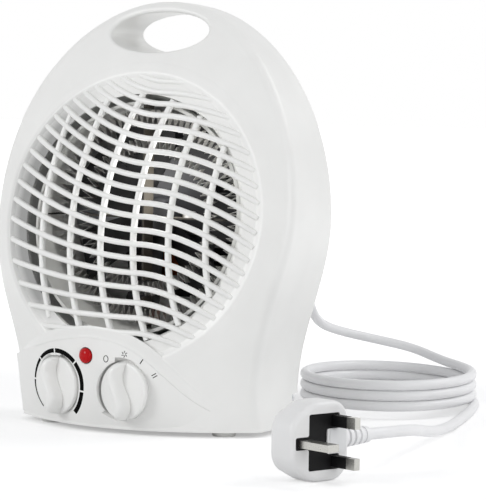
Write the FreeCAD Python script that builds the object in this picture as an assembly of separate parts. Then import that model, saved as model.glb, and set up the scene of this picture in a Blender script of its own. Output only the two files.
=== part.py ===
import FreeCAD, Part
import math
import os
from FreeCAD import Vector

# Upright fan heater, in millimetres. +Z is up, the grille faces -Y, and the origin is on the
# floor under the middle of the casing. The lead, its coil and the plug lie beside it.

# Casing
height = 270.0
half_width = 107.0
base_half_width = 87.0
waist_draw = 9.0
widest_height = 134.0
depth = 121.0
wall = 2.5
floor_gap = 3.0
draft = 0.6
front_round = 8.0
parting_y = 33.0
upper_rear_y = 48.5
parting_step = 0.5
rear_round = 7.0
overrun = 60.0

# Front skin: upright below, leaning back above, bowed most at the base
knob_proud = 15.1
skin_rise = 62.0
skin_rise_height = 60.0
bow_base = 50.0
bow_middle = 24.0
bow_top = 15.0
bow_height = 110.0

# Handle opening
handle_half_length = 35.0
handle_half_height = 13.0
handle_height = 249.5
handle_wall = 2.5
handle_round = 2.0

# Front grille
axis_height = 133.0
grille_radius = 94.0
open_radius = 75.0
seat_lip = 2.5
seat_thickness = 2.6
slat_depth = 4.6
slat_thickness = 2.8
row_count = 19
row_top = 208.0
row_pitch = 7.05
row_growth = 0.07
slat_middle = 14.0
slat_rise_top = 64.0
slat_rise_bottom = -1.5
slat_drop_top = 19.0
slat_drop_bottom = 42.0
slat_rise_power = 1.7
slat_drop_power = 1.8
slot_end = 92.0
rib_count = 7
rib_pitch = 23.6
rib_width = 3.0
rib_offset = 8.0
rib_bow = 20.0
rib_depth = 3.0
rib_ring = 2.2

# Control panel
panel_height = 60.0
panel_step = 4.0
panel_sink = 1.0
knob_radius = 18.0
knob_base = 4.5
grip_height = 8.5
grip_half_width = 4.6
grip_sway = -2.4
grip_taper = 2.8
knob_round = 1.1
knob_height = 27.5
thermostat_x = -42.0
switch_x = 10.0
thermostat_turn = 17.0
switch_turn = 10.0
pocket_depth = 3.0
pocket_gap = 0.7
thermostat_bevel = 0.8
switch_bevel = 1.4
knob_float = 0.4
shaft_radius = 3.0
shaft_gap = 0.05
control_boss_radius = 8.5
control_boss_depth = 15.0
thermostat_body_size = (30.0, 16.0, 25.0)
switch_body_radius = 14.0
switch_body_depth = 17.0
tag_size = (4.8, 6.0, 0.8)
thermostat_tag_pitch = 15.0
switch_tag_pitch = 7.0
lamp_x = -17.7
lamp_height = 47.8
lamp_radius = 4.9
lamp_dome = 3.6
lamp_holder_radius = 6.2
lamp_holder_depth = 16.0
lamp_wall = 1.1
neon_radius = 2.4
neon_length = 9.0

# Rear drum and base
drum_radius = 97.0
drum_taper = 4.0
drum_round = 10.0
rear_base_half_width = 80.0
rear_base_top = 62.0
rear_base_inset = 4.0
rear_base_round = 14.0
rear_rim_low = 7.5
inlet_radius = 61.0
inlet_lip = 2.5
inlet_thickness = 4.5
inlet_slot = 3.6
inlet_pitch = 8.6
inlet_tilt = 40.0
inlet_bar = 4.0
inlet_bar_x = 26.0

# Fasteners
boss_radius = 5.0
screw_radius = 1.8
screw_gap = 0.15
screw_head_radius = 3.4
screw_head = 2.4
screw_bite = 14.0
foot_radius = 8.0
foot_taper = 1.0
foot_x = 62.0
foot_front_y = -14.0
foot_rear_y = 44.0

# Duct, element and fan
duct_radius = 71.0
duct_wall = 2.0
duct_grille_gap = 0.3
duct_rear_y = 27.0
duct_ear = 3.0
duct_screw_radius = 86.0
duct_angle = 45.0
mica_thickness = 1.0
mica_front_y = -10.0
mica_rear_y = 2.0
mica_gap = 0.2
element_front_y = -6.5
element_width = 6.0
element_thickness = 0.7
element_outer_radii = (57.0, 68.0)
element_inner_radii = (40.0, 50.0)
element_outer_teeth = 56
element_inner_teeth = 44
element_notch = 0.3
cutout_radius = 4.2
cutout_height = 4.0
cutout_round = 1.0
fuse_radius = 1.6
fuse_length = 11.0
safety_x = 30.0
blade_count = 7
blade_radius = 65.0
hub_radius = 13.0
hub_round = 4.3
hub_front_y = 5.0
hub_rear_y = 22.0
blade_thickness = 1.6
blade_pitch = 25.0
blade_root_pitch = 42.0
blade_camber_share = 0.083

# Motor
motor_shaft_radius = 2.0
running_gap = 0.04
bush_radius = 5.0
bush_length = 6.5
bracket_thickness = 2.0
bracket_half_height = 8.0
stator_half_width = 22.0
stator_above = 16.0
stator_below = 36.0
stator_depth = 16.0
rotor_radius = 10.2
rotor_gap = 0.3
rotor_end_gap = 1.2
window_half_width = 13.5
window_top = 14.0
window_bottom = 26.0
coil_build = 6.0
coil_gap = 0.3
motor_screw_x = 18.0
motor_screw_height = 12.0

# Lead
cord_radius = 3.4
exit_x = 46.0
exit_height = 78.0
gland_length = 32.0
gland_root = 6.6
gland_tip = 4.4
gland_flange = 9.0
gland_flange_thickness = 2.0
gland_rib = 0.8
gland_rib_count = 5
gland_groove_share = 0.2
inner_cord_length = 17.0
terminal_size = (16.0, 12.0, 24.0)
terminal_groove = 1.25
terminal_groove_depth = 3.0
terminal_groove_at = 4.0
terminal_post_radius = 2.5
terminal_post_reach = 11.0
clamp_size = (26.0, 9.0, 5.0)
coil_centre = (82.0, 190.0)
coil_turn = 30.0
coil_half_width = 57.0
coil_half_depth = 80.0
coil_turns = 3
coil_gap_free = 0.6
coil_rest = 0.5
coil_start = 20.0
cord_run_in = 27.2
cord_run_out = 13.6
cord_run_plug = 34.0
lead_route = [(45, 128, 76.5), (37, 158, 70), (25, 188, 60), (18, 217, 50), (22, 245, 43),
              (39, 266, 37), (65, 273, 32)]
tail_route = [(141, 205, 3.7), (151, 174, 3.6), (160, 140, 3.6), (169, 102, 3.8), (178, 62, 4.8), (187, 22, 8),
              (195, -20, 14)]

# Plug, a three-pin type with a fuse carrier
plug_place = (193.0, -150.0)
plug_turn = -22.0
plug_half_width = 22.0
plug_half_length = 21.0
plug_thickness = 19.0
plug_corner = 12.0
plug_nose_half_width = 13.0
plug_taper_from = -4.0
plug_edge_round = 3.0
plug_insert_depth = 8.0
plug_insert_sink = 0.8
insert_bar = (-9.0, 4.6, 15.5)
insert_earth = (-18.5, 3.5)
insert_live = (13.4, 6.9)
insert_corner = 1.2
pin_spacing = 22.2
earth_spacing = 22.2
earth_from_edge = 9.0
earth_size = (8.0, 4.0, 22.7)
live_size = (6.3, 4.0, 17.7)
fuse_carrier_size = (12.0, 13.0)
fuse_carrier_from = 6.2
plug_relief_length = 22.0
plug_relief_root = 6.4
plug_relief_tip = 4.6

os.makedirs("parts", exist_ok=True)
BACK = Vector(0, 1, 0)
UP = Vector(0, 0, 1)
rear_y = depth / 2
front_y = knob_proud - depth / 2
kappa_share = 0.5523
inset_near = wall / 50
aligned_share = 0.9


def export(name, shape):
    shape.exportStep("parts/" + name + ".step")


def smooth(value):
    value = min(1.0, max(0.0, value))
    return value * value * (3 - 2 * value)


def mirrored(shape):
    return shape.mirror(Vector(0, 0, 0), Vector(1, 0, 0))


def cylinder_y(radius, y0, y1, x=0.0, z=0.0):
    return Part.makeCylinder(radius, y1 - y0, Vector(x, y0, z), BACK)


def box(x0, x1, y0, y1, z0, z1):
    return Part.makeBox(x1 - x0, y1 - y0, z1 - z0, Vector(x0, y0, z0))


def edges_where(shape, test):
    return [edge for edge in shape.Edges if test(edge)]


def bezier(*poles):
    curve = Part.BezierCurve()
    curve.setPoles([Vector(*pole) for pole in poles])
    return curve.toShape()


def spline(points):
    curve = Part.BSplineCurve()
    curve.interpolate(points)
    return curve.toShape()


# Front skin, a smooth sheet y(x, z)
def skin(x, z):
    lean = max(0.0, (z - skin_rise_height) / (height - skin_rise_height))
    low = bow_base + (bow_middle - bow_base) * smooth(z / bow_height)
    high = (bow_middle - bow_top) * smooth((z - bow_height) / (height - bow_height))
    return front_y + skin_rise * lean ** 2 + (low - high) * (x / half_width) ** 2


def sheet_solid(surface_y, x_count=5, z_count=15):
    # Everything behind a sheet y(x, z), as one solid
    spread_share, low_share, high_share = 1.12, -0.06, 1.06
    rows = []
    for i in range(x_count):
        x = half_width * spread_share * (2 * i / (x_count - 1) - 1)
        row = []
        for j in range(z_count):
            z = height * (low_share + (high_share - low_share) * j / (z_count - 1))
            row.append(Vector(x, surface_y(x, z), z))
        rows.append(row)
    surface = Part.BSplineSurface()
    surface.interpolate(rows)
    return surface.toShape().extrude(BACK * (depth + overrun))


skin_solids = {}


def behind_skin(offset):
    if offset not in skin_solids:
        skin_solids[offset] = sheet_solid(lambda x, z: skin(x, z) + offset)
    return skin_solids[offset]


# Casing outline, an egg on a straight-sided base
def outline(y, inset):
    wide = half_width - inset
    top = height - inset
    base = base_half_width - inset
    floor = floor_gap + inset
    rise = top - widest_height
    fall = widest_height - floor
    base_share, side_share = 0.36, 0.33
    right = [
        bezier((base, y, floor), (base - waist_draw, y, floor + fall * base_share),
               (wide, y, widest_height - fall * side_share), (wide, y, widest_height)),
        bezier((wide, y, widest_height), (wide, y, widest_height + rise * kappa_share),
               (wide * kappa_share, y, top), (0, y, top)),
    ]
    left = [mirrored(edge) for edge in right]
    foot = Part.LineSegment(Vector(-base, y, floor), Vector(base, y, floor)).toShape()
    return Part.Wire(Part.__sortEdges__(right + left + [foot]))


def casing_prism(y0, y1, inset0, inset1):
    return Part.makeLoft([outline(y0, inset0), outline(y1, inset1)], True, True)


def handle_prism(y0, y1, grow):
    wide = handle_half_length + grow
    high = handle_half_height + grow
    quarter = [(wide, y0, handle_height), (wide, y0, handle_height + high * kappa_share),
               (wide * kappa_share, y0, handle_height + high), (0, y0, handle_height + high)]
    arc = bezier(*quarter)
    lower = arc.mirror(Vector(0, 0, handle_height), UP)
    edges = [arc, mirrored(arc), lower, mirrored(lower)]
    return Part.Face(Part.Wire(Part.__sortEdges__(edges))).extrude(BACK * (y1 - y0))


# Control panel under a wave-shaped edge
arch_shares = [(-1.1, 0.55), (-0.85, 0.68), (-0.63, 0.82), (-0.42, 0.93), (-0.17, 1.0), (0.05, 0.965),
               (0.19, 0.85), (0.31, 0.68), (0.42, 0.48), (0.54, 0.31), (0.66, 0.2), (0.78, 0.12)]


def panel_surface(x, z):
    left_share, left_run_share, right_share, right_run_share, low_run_share = 0.97, 0.22, 0.22, 0.46, 0.22
    window = smooth((x / half_width + left_share) / left_run_share)
    window *= 1 - smooth((x / half_width - right_share) / right_run_share)
    window *= smooth((z - floor_gap) / (panel_height * low_run_share))
    return skin(x, z) + panel_sink - (panel_step + panel_sink) * window


def panel_prism():
    y = front_y - overrun
    points = [Vector(share_x * half_width, y, share_z * panel_height) for share_x, share_z in arch_shares]
    low = floor_gap + wall
    first, last = points[0], points[-1]
    corners = [last, Vector(last.x, y, low), Vector(first.x, y, low), first]
    edges = [spline(points)]
    edges += [Part.LineSegment(a, b).toShape() for a, b in zip(corners, corners[1:])]
    return Part.Face(Part.Wire(edges)).extrude(BACK * (parting_y - y))


def boss_places():
    # Casing screws, in shares of the outline's own half width and height
    places_share = [(0.74, 0.66), (0.87, 0.36), (0.76, 0.075)]
    return [(side * x * half_width, z * height) for x, z in places_share for side in (-1, 1)]


def duct_places():
    x = duct_screw_radius * math.cos(math.radians(duct_angle))
    z = duct_screw_radius * math.sin(math.radians(duct_angle))
    return [(sx * x, axis_height + sz * z) for sx in (-1, 1) for sz in (-1, 1)]


def control_frame(shape, x, z):
    # Turn a control built about -Y and set it on the panel
    shape = shape.copy()
    shape.rotate(Vector(0, 0, 0), UP, -thermostat_turn if x == thermostat_x else -switch_turn)
    shape.translate(Vector(x, panel_surface(x, z), z))
    return shape


def control_pocket(bevel):
    radius = knob_radius + pocket_gap
    well = cylinder_y(radius, -overrun, pocket_depth)
    cone = Part.makeCone(radius + 2 * bevel, radius, pocket_depth + bevel, Vector(0, -bevel, 0), BACK)
    hole = cylinder_y(shaft_radius + shaft_gap, -overrun, overrun)
    return well.fuse(cone).fuse(hole)


controls = [(thermostat_x, thermostat_bevel), (switch_x, switch_bevel)]
front_limit = front_y - overrun
axis_point = Vector(0, 0, axis_height)


def on_handle_lip(edge):
    # True on the handle opening's front edge
    for point in edge.discretize(5):
        across = point.x / (handle_half_length + wall / 4)
        along = (point.z - handle_height) / (handle_half_height + wall / 4)
        if across ** 2 + along ** 2 > 1 or point.y > parting_y - wall:
            return False
    return True


def make_front_shell():
    body = casing_prism(front_limit, parting_y, 0, draft).common(behind_skin(0))
    near_share = 0.02
    rim = edges_where(body, lambda e: all(
        abs(p.y - skin(p.x, p.z)) < wall * near_share and p.z > floor_gap + wall
        for p in e.discretize(3)[1:2]))
    body = body.makeFillet(front_round, rim)
    inner = casing_prism(front_limit, parting_y + wall, wall, draft + wall).common(behind_skin(wall))
    panel = panel_prism().common(sheet_solid(panel_surface, 17, 25))
    panel = panel.common(casing_prism(front_limit, parting_y, wall / 2, draft + wall / 2))
    panel = panel.cut(behind_skin(wall))
    shell = body.cut(inner).fuse(panel)
    posts = [cylinder_y(boss_radius, front_limit, parting_y, x, z) for x, z in boss_places()]
    posts += [cylinder_y(boss_radius, front_limit, duct_rear_y - duct_ear, x, z) for x, z in duct_places()]
    for x, bevel in controls:
        posts.append(control_frame(cylinder_y(control_boss_radius, 0, control_boss_depth), x, knob_height))
    posts.append(handle_prism(front_limit, parting_y, handle_wall))
    posts.append(cylinder_y(grille_radius + seat_lip, front_limit, parting_y, 0, axis_height).common(
        behind_skin(seat_thickness)).cut(behind_skin(seat_thickness + wall)))
    keep = casing_prism(front_limit, parting_y, wall / 2, draft + wall / 2).common(behind_skin(wall / 2))
    shell = shell.fuse([post.common(keep) for post in posts])
    shell = shell.cut(handle_prism(front_limit, parting_y + wall, 0))
    mouth = cylinder_y(grille_radius, front_limit, parting_y, 0, axis_height)
    mouth = mouth.cut(behind_skin(seat_thickness)).cut(panel_prism())
    throat = cylinder_y(open_radius + seat_lip, front_limit, parting_y, 0, axis_height).cut(panel_prism())
    cuts = [mouth, throat]
    for x, z in boss_places():
        cuts.append(cylinder_y(screw_radius + screw_gap, parting_y - screw_bite, parting_y + wall, x, z))
    for x, z in duct_places():
        end = duct_rear_y - duct_ear
        cuts.append(cylinder_y(screw_radius + screw_gap, end - screw_bite, end + wall, x, z))
    for x, bevel in controls:
        cuts.append(control_frame(control_pocket(bevel), x, knob_height))
    lamp_hole = cylinder_y(lamp_radius + pocket_gap / 2, -overrun, overrun)
    cuts.append(control_frame(lamp_hole, lamp_x, lamp_height))
    shell = shell.cut(cuts)
    lip = edges_where(shell, on_handle_lip)
    return shell.makeFillet(handle_round, lip)


# Front grille: wave-shaped slots that run out on a ring, with bowed ribs behind the slats
def row_height(index):
    return row_top - row_pitch * index - row_growth * index ** 2


def wave(x, level):
    low = row_height(row_count - 1)
    share = (level - low) / (row_top - low)
    if x < slat_middle:
        rise = slat_rise_bottom + (slat_rise_top - slat_rise_bottom) * share
        return level + rise * ((slat_middle - x) / (slat_middle + grille_radius)) ** slat_rise_power
    drop = slat_drop_bottom + (slat_drop_top - slat_drop_bottom) * share
    return level - drop * ((x - slat_middle) / (grille_radius - slat_middle)) ** slat_drop_power


def wave_edge(level, y):
    x_shares = (-1.05, -0.8, -0.55, -0.3, -0.05, 0.16, 0.35, 0.6, 0.82, 1.05)
    xs = [share * grille_radius for share in x_shares]
    return spline([Vector(x, y, wave(x, level)) for x in xs])


def slot_prism(index):
    gap = row_pitch + 2 * row_growth * index - slat_thickness
    level = row_height(index)
    lower = wave_edge(level - gap / 2, front_limit)
    upper = wave_edge(level + gap / 2, front_limit)
    ends = [(lower.Vertexes[0].Point, upper.Vertexes[0].Point),
            (lower.Vertexes[-1].Point, upper.Vertexes[-1].Point)]
    sides = [Part.LineSegment(a, b).toShape() for a, b in ends]
    wire = Part.Wire(Part.__sortEdges__([lower, upper] + sides))
    return Part.Face(wire).extrude(BACK * (parting_y - front_limit))


def rib_prism(index):
    middle = rib_offset + rib_pitch * (index - (rib_count - 1) / 2)
    low, high = axis_height - grille_radius, axis_height + grille_radius

    def bow(shift):
        points = [Vector(middle + rib_bow + shift, front_limit, low),
                  Vector(middle + shift, front_limit, axis_height),
                  Vector(middle + rib_bow + shift, front_limit, high)]
        return Part.Arc(*points).toShape(), points[0], points[2]

    left, left_low, left_high = bow(-rib_width / 2)
    right, right_low, right_high = bow(rib_width / 2)
    edges = [left, right, Part.LineSegment(left_low, right_low).toShape(),
             Part.LineSegment(left_high, right_high).toShape()]
    wire = Part.Wire(Part.__sortEdges__(edges))
    return Part.Face(wire).extrude(BACK * (parting_y - front_limit))


def slot_floor(x, z):
    # A bowl that is through the slats inside the opening and runs out on the ring
    radial = (x ** 2 + (z - axis_height) ** 2) / slot_end ** 2
    return skin(x, z) + slat_depth * (1 - radial) / (1 - (open_radius / slot_end) ** 2)


def grille_cylinder(radius):
    return cylinder_y(radius, front_limit, parting_y, 0, axis_height)


def make_front_grille():
    front = grille_cylinder(grille_radius).common(behind_skin(0))
    ring = front.cut(behind_skin(seat_thickness))
    disc = front.common(grille_cylinder(open_radius + seat_lip)).cut(behind_skin(slat_depth))
    blank = ring.fuse(disc).cut(panel_prism())
    floor = sheet_solid(slot_floor)
    slots = [slot_prism(index).cut(floor) for index in range(row_count)]
    return blank.cut(slots)


def make_grille_ribs():
    # Bowed ribs on a ring, against the backs of the slats
    outer = open_radius + seat_lip - screw_gap
    layer = grille_cylinder(outer).common(behind_skin(slat_depth)).cut(behind_skin(slat_depth + rib_depth))
    layer = layer.cut(panel_prism())
    ring = layer.cut(grille_cylinder(outer - rib_ring))
    return ring.fuse([rib_prism(index).common(layer) for index in range(rib_count)])


# Rear shell: shallow upper part, round drum, base block
def rear_form(inset):
    start = parting_y - inset
    edge = draft + parting_step + inset
    plate = casing_prism(start, upper_rear_y - inset, edge, edge)
    back = upper_rear_y - inset
    rim = edges_where(plate, lambda e: abs(e.CenterOfMass.y - back) < inset_near and e.CenterOfMass.z > rear_rim_low)
    plate = plate.makeFillet(rear_round - inset, rim)
    back = rear_y - inset
    drum = Part.makeCone(drum_radius - inset, drum_radius - drum_taper - inset, back - start,
                         Vector(0, start, axis_height), BACK)
    rim = edges_where(drum, lambda e: abs(e.CenterOfMass.y - back) < inset_near)
    drum = drum.makeFillet(drum_round - inset, rim[:1])
    reach = rear_base_half_width - inset
    back = rear_y - rear_base_inset - inset
    base = box(-reach, reach, start, back, floor_gap + inset, rear_base_top - inset)
    rim = edges_where(base, lambda e: abs(e.CenterOfMass.y - back) < inset_near and e.CenterOfMass.z > rear_rim_low)
    base = base.makeFillet(rear_base_round - inset, rim)
    return plate.fuse([drum, base])


def make_rear_shell():
    outer = rear_form(0)
    shell = outer.cut(rear_form(wall))
    seat_y = rear_y - wall - inlet_thickness
    posts = [handle_prism(parting_y, upper_rear_y, handle_wall),
             cylinder_y(inlet_radius + inlet_lip, seat_y, rear_y, 0, axis_height)]
    posts += [cylinder_y(boss_radius, parting_y, rear_y, x, z) for x, z in boss_places()]
    for side in (-1, 1):
        z = exit_height + side * terminal_post_reach
        posts.append(cylinder_y(terminal_post_radius, rear_y - wall - inner_cord_length, rear_y, exit_x, z))
    shell = shell.fuse([post.common(outer) for post in posts])
    cuts = [handle_prism(parting_y - wall, rear_y, 0),
            cylinder_y(inlet_radius - inlet_lip, seat_y - wall, rear_y + wall, 0, axis_height),
            cylinder_y(inlet_radius, rear_y - inlet_thickness, rear_y + wall, 0, axis_height),
            cylinder_y(gland_root, rear_y - 2 * wall, rear_y + wall, exit_x, exit_height)]
    for x, z in boss_places():
        cuts.append(cylinder_y(screw_radius + screw_gap, parting_y - wall, rear_y + wall, x, z))
        cuts.append(cylinder_y(screw_head_radius + screw_gap, parting_y + wall, rear_y + wall, x, z))
    return shell.cut(cuts)


def make_rear_grille():
    back = rear_y
    disc = cylinder_y(inlet_radius - screw_gap, back - inlet_thickness, back, 0, axis_height)
    slots = []
    rows = int((inlet_radius - 2 * inlet_lip) / inlet_pitch)
    for row in range(-rows, rows + 1):
        z = axis_height + row * inlet_pitch
        reach = math.sqrt((inlet_radius - 2 * inlet_lip) ** 2 - (row * inlet_pitch) ** 2)
        spans = [(-reach, -inlet_bar_x - inlet_bar / 2), (-inlet_bar_x + inlet_bar / 2, inlet_bar_x - inlet_bar / 2),
                 (inlet_bar_x + inlet_bar / 2, reach)]
        for x0, x1 in spans:
            x0, x1 = max(x0, -reach), min(x1, reach)
            if x1 - x0 > inlet_slot:
                slot = box(x0, x1, back - overrun, back + overrun, z - inlet_slot / 2, z + inlet_slot / 2)
                slot.rotate(Vector(0, back - inlet_thickness / 2, z), Vector(1, 0, 0), -inlet_tilt)
                slots.append(slot)
    return disc.cut(slots)


def screw_y(head_y, x, z, length):
    # Head at the back, shank running forward
    head = cylinder_y(screw_head_radius, head_y, head_y + screw_head, x, z)
    return cylinder_y(screw_radius, head_y - length, head_y, x, z).fuse(head)


def make_feet():
    feet = []
    for x in (-foot_x, foot_x):
        for y in (foot_front_y, foot_rear_y):
            feet.append(Part.makeCone(foot_radius - foot_taper, foot_radius, floor_gap, Vector(x, y, 0), UP))
    return Part.makeCompound(feet)


# Air duct, mica frame and ribbon elements
def turned(shape, angle):
    shape = shape.copy()
    shape.rotate(axis_point, BACK, angle)
    return shape


def make_fan_duct():
    outer, inner = duct_radius + duct_wall, duct_radius
    tube = cylinder_y(outer, front_limit, duct_rear_y, 0, axis_height)
    tube = tube.common(behind_skin(slat_depth + rib_depth + duct_grille_gap))
    end = duct_rear_y - duct_ear
    ear = box(duct_radius, duct_screw_radius, end, duct_rear_y, axis_height - boss_radius, axis_height + boss_radius)
    ear = ear.fuse(cylinder_y(boss_radius, end, duct_rear_y, duct_screw_radius, axis_height))
    ear = ear.cut(cylinder_y(screw_radius + screw_gap, end - wall, duct_rear_y + wall,
                             duct_screw_radius, axis_height))
    ears = [turned(ear, angle) for angle in (duct_angle, 180 - duct_angle, 180 + duct_angle, -duct_angle)]
    return tube.fuse(ears).cut(cylinder_y(inner, front_limit, duct_rear_y + wall, 0, axis_height))


element_rear_y = element_front_y + element_width


def element_space(radii):
    space = cylinder_y(radii[1] + element_notch, front_limit, element_rear_y, 0, axis_height)
    return space.cut(cylinder_y(radii[0] - element_notch, front_limit, element_rear_y, 0, axis_height))


def make_mica_boards():
    reach = duct_radius - mica_gap
    level = box(-reach, reach, mica_front_y, mica_rear_y, axis_height - mica_thickness / 2,
                axis_height + mica_thickness / 2)
    spaces = [element_space(element_outer_radii), element_space(element_inner_radii)]
    upright = turned(level, 90)
    half_y = (mica_front_y + mica_rear_y) / 2
    slot = mica_thickness / 2 + mica_gap / 2
    front_slot = box(-slot, slot, front_limit, half_y, axis_height - slot, axis_height + slot)
    rear_slot = box(-slot, slot, half_y, parting_y, axis_height - slot, axis_height + slot)
    return level.cut(spaces + [rear_slot]), upright.cut(spaces + [front_slot])


def make_element(radii, teeth):
    # A ribbon folded into a ring of teeth
    half = element_thickness / 2
    inner, outer = radii

    def ring(shift):
        points = []
        for index in range(2 * teeth):
            angle = math.pi * index / teeth
            radius = (outer - half if index % 2 else inner + half) + shift
            points.append(Vector(radius * math.cos(angle), element_front_y, axis_height + radius * math.sin(angle)))
        return Part.makePolygon(points + points[:1])

    # The folds' own slope carries the ribbon's thickness to each side
    run = math.hypot(outer - inner, math.pi * (outer + inner) / (2 * teeth))
    spread = half * run / (math.pi * (outer + inner) / (2 * teeth))
    band = Part.Face(ring(spread)).cut(Part.Face(ring(-spread)))
    ribbon = band.extrude(BACK * element_width)
    limit = cylinder_y(outer, element_front_y, element_rear_y, 0, axis_height)
    limit = limit.cut(cylinder_y(inner, element_front_y, element_rear_y, 0, axis_height))
    return ribbon.common(limit)


def make_safety_devices():
    # A bimetal cut-out and a one-shot fuse on the level board, between the two elements
    top = axis_height + mica_thickness / 2
    middle_y = (mica_front_y + mica_rear_y) / 2
    cutout = Part.makeCylinder(cutout_radius, cutout_height, Vector(safety_x, middle_y, top), UP)
    rim = edges_where(cutout, lambda e: abs(e.CenterOfMass.z - top - cutout_height) < inset_near)
    cutout = cutout.makeFillet(cutout_round, rim[:1])
    fuse = cylinder_y(fuse_radius, middle_y - fuse_length / 2, middle_y + fuse_length / 2,
                      -safety_x, top + fuse_radius)
    return cutout, fuse


def make_impeller():
    hub = cylinder_y(hub_radius, hub_front_y, hub_rear_y, 0, axis_height)
    rim = edges_where(hub, lambda e: abs(e.CenterOfMass.y - hub_front_y) < inset_near)
    hub = hub.makeFillet(hub_round, rim[:1])
    middle = (hub_front_y + hub_rear_y) / 2
    chord_limit = hub_rear_y - hub_front_y

    def section(radius, pitch):
        run = chord_limit / math.sin(math.radians(pitch))
        ends = [Vector(radius, -side * chord_limit / 2, side * run * math.cos(math.radians(pitch)) / 2)
                for side in (-1, 1)]
        camber = run * blade_camber_share
        normal = Vector(0, math.cos(math.radians(pitch)), math.sin(math.radians(pitch)))
        centre = (ends[0] + ends[1]) * 0.5
        arcs = []
        for side in (-1, 1):
            crown = centre + normal * (camber + side * blade_thickness / 2)
            arcs.append(Part.Arc(ends[0], crown, ends[1]).toShape())
        wire = Part.Wire(Part.__sortEdges__(arcs))
        wire.translate(Vector(0, middle, axis_height))
        return wire

    blade = Part.makeLoft([section(hub_radius / 2, blade_root_pitch), section(blade_radius, blade_pitch)], True, True)
    blade = blade.common(cylinder_y(blade_radius, hub_front_y, hub_rear_y, 0, axis_height))
    blades = [turned(blade, 360 * index / blade_count) for index in range(blade_count)]
    return hub.fuse(blades).cut(cylinder_y(motor_shaft_radius, front_limit, rear_y, 0, axis_height))


# Motor
stator_front_y = duct_rear_y + bracket_thickness
stator_rear_y = stator_front_y + stator_depth
shaft_bore = motor_shaft_radius + running_gap


def make_stator():
    body = box(-stator_half_width, stator_half_width, stator_front_y, stator_rear_y,
               axis_height - stator_below, axis_height + stator_above)
    window = box(-window_half_width, window_half_width, front_limit, rear_y,
                 axis_height - window_bottom, axis_height - window_top)
    return body.cut([window, cylinder_y(rotor_radius + rotor_gap, front_limit, rear_y, 0, axis_height)] + [
        cylinder_y(screw_radius + screw_gap, front_limit, rear_y, x, axis_height + motor_screw_height)
        for x in (-motor_screw_x, motor_screw_x)])


def make_motor_coil():
    leg_low, leg_high = axis_height - stator_below, axis_height - window_bottom
    reach = window_half_width - coil_gap
    outer = box(-reach, reach, stator_front_y - coil_build, stator_rear_y + coil_build,
                leg_low - coil_build, leg_high + coil_build)
    outer = outer.makeFillet(coil_build / 2, edges_where(outer, lambda e: abs(e.tangentAt(0).x) > aligned_share))
    leg = box(-rear_y, rear_y, stator_front_y - coil_gap, stator_rear_y + coil_gap,
              leg_low - coil_gap, leg_high + coil_gap)
    return outer.cut(leg)


def make_bracket(reach, y0):
    half = bracket_half_height
    bar = box(-reach, reach, y0, y0 + bracket_thickness, axis_height - half, axis_height + half)
    tab_half = motor_screw_x + half / 2
    tab = box(-tab_half, tab_half, y0, y0 + bracket_thickness, axis_height, axis_height + stator_above)
    holes = [cylinder_y(bush_radius, front_limit, rear_y, 0, axis_height)]
    for x in (-motor_screw_x, motor_screw_x):
        holes.append(cylinder_y(screw_radius + screw_gap, front_limit, rear_y, x, axis_height + motor_screw_height))
    return bar.fuse(tab).cut(holes)


def make_bush(y0):
    bush = cylinder_y(bush_radius, y0, y0 + bush_length, 0, axis_height)
    return bush.cut(cylinder_y(shaft_bore, front_limit, rear_y, 0, axis_height))


front_bush_y = duct_rear_y - (bush_length - bracket_thickness) + rotor_end_gap
rear_bush_y = stator_rear_y
rotor_front_y = front_bush_y + bush_length + rotor_end_gap
rotor_rear_y = rear_bush_y - rotor_end_gap


def make_rotor():
    rotor = cylinder_y(rotor_radius, rotor_front_y, rotor_rear_y, 0, axis_height)
    return rotor.cut(cylinder_y(motor_shaft_radius, front_limit, rear_y, 0, axis_height))


# Controls, built about -Y at the panel face and then turned
def make_knob(x):
    rest = pocket_depth - knob_float
    disc = cylinder_y(knob_radius, rest - knob_base, rest)
    rim = edges_where(disc, lambda e: abs(e.CenterOfMass.y - (rest - knob_base)) < inset_near)
    disc = disc.makeFillet(knob_round, rim[:1])
    z_shares = (-1.1, -0.75, -0.4, 0.0, 0.4, 0.75, 1.1)
    front = rest - knob_base - grip_height
    sides = []
    for side in (-1, 1):
        points = []
        for share in z_shares:
            sway = grip_sway * math.sin(math.pi * share)
            points.append(Vector(side * grip_half_width + sway, front, share * knob_radius))
        sides.append(spline(points))
    ends = [Part.LineSegment(sides[0].Vertexes[i].Point, sides[1].Vertexes[i].Point).toShape() for i in (0, -1)]
    grip = Part.Face(Part.Wire(Part.__sortEdges__(sides + ends))).extrude(BACK * (grip_height + knob_base / 2))
    limit_radius = knob_radius - knob_round
    limit = Part.makeCone(limit_radius - grip_taper, limit_radius, grip_height + knob_base / 2,
                          Vector(0, front, 0), BACK)
    knob = disc.fuse(grip.common(limit))
    knob = knob.cut(cylinder_y(shaft_radius, rest - knob_base / 2, rest + wall))
    return control_frame(knob, x, knob_height)


def make_control_shaft(x):
    rest = pocket_depth - knob_float
    shaft = cylinder_y(shaft_radius, rest - knob_base / 2, control_boss_depth)
    return control_frame(shaft, x, knob_height)


def tags(y, spacing, count):
    wide, long, thin = tag_size
    blades = []
    for index in range(count):
        x = spacing * (index - (count - 1) / 2)
        blades.append(box(x - thin / 2, x + thin / 2, y, y + long, -wide / 2, wide / 2))
    return blades


def make_thermostat_body():
    wide, deep, high = thermostat_body_size
    start = control_boss_depth
    body = box(-wide / 2, wide / 2, start, start + deep, -high / 2, high / 2)
    body = body.fuse(tags(start + deep, thermostat_tag_pitch, 2))
    return control_frame(body, thermostat_x, knob_height)


def make_switch_body():
    start = control_boss_depth
    end = start + switch_body_depth
    body = cylinder_y(switch_body_radius, start, end).fuse(tags(end, switch_tag_pitch, 3))
    return control_frame(body, switch_x, knob_height)


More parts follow.
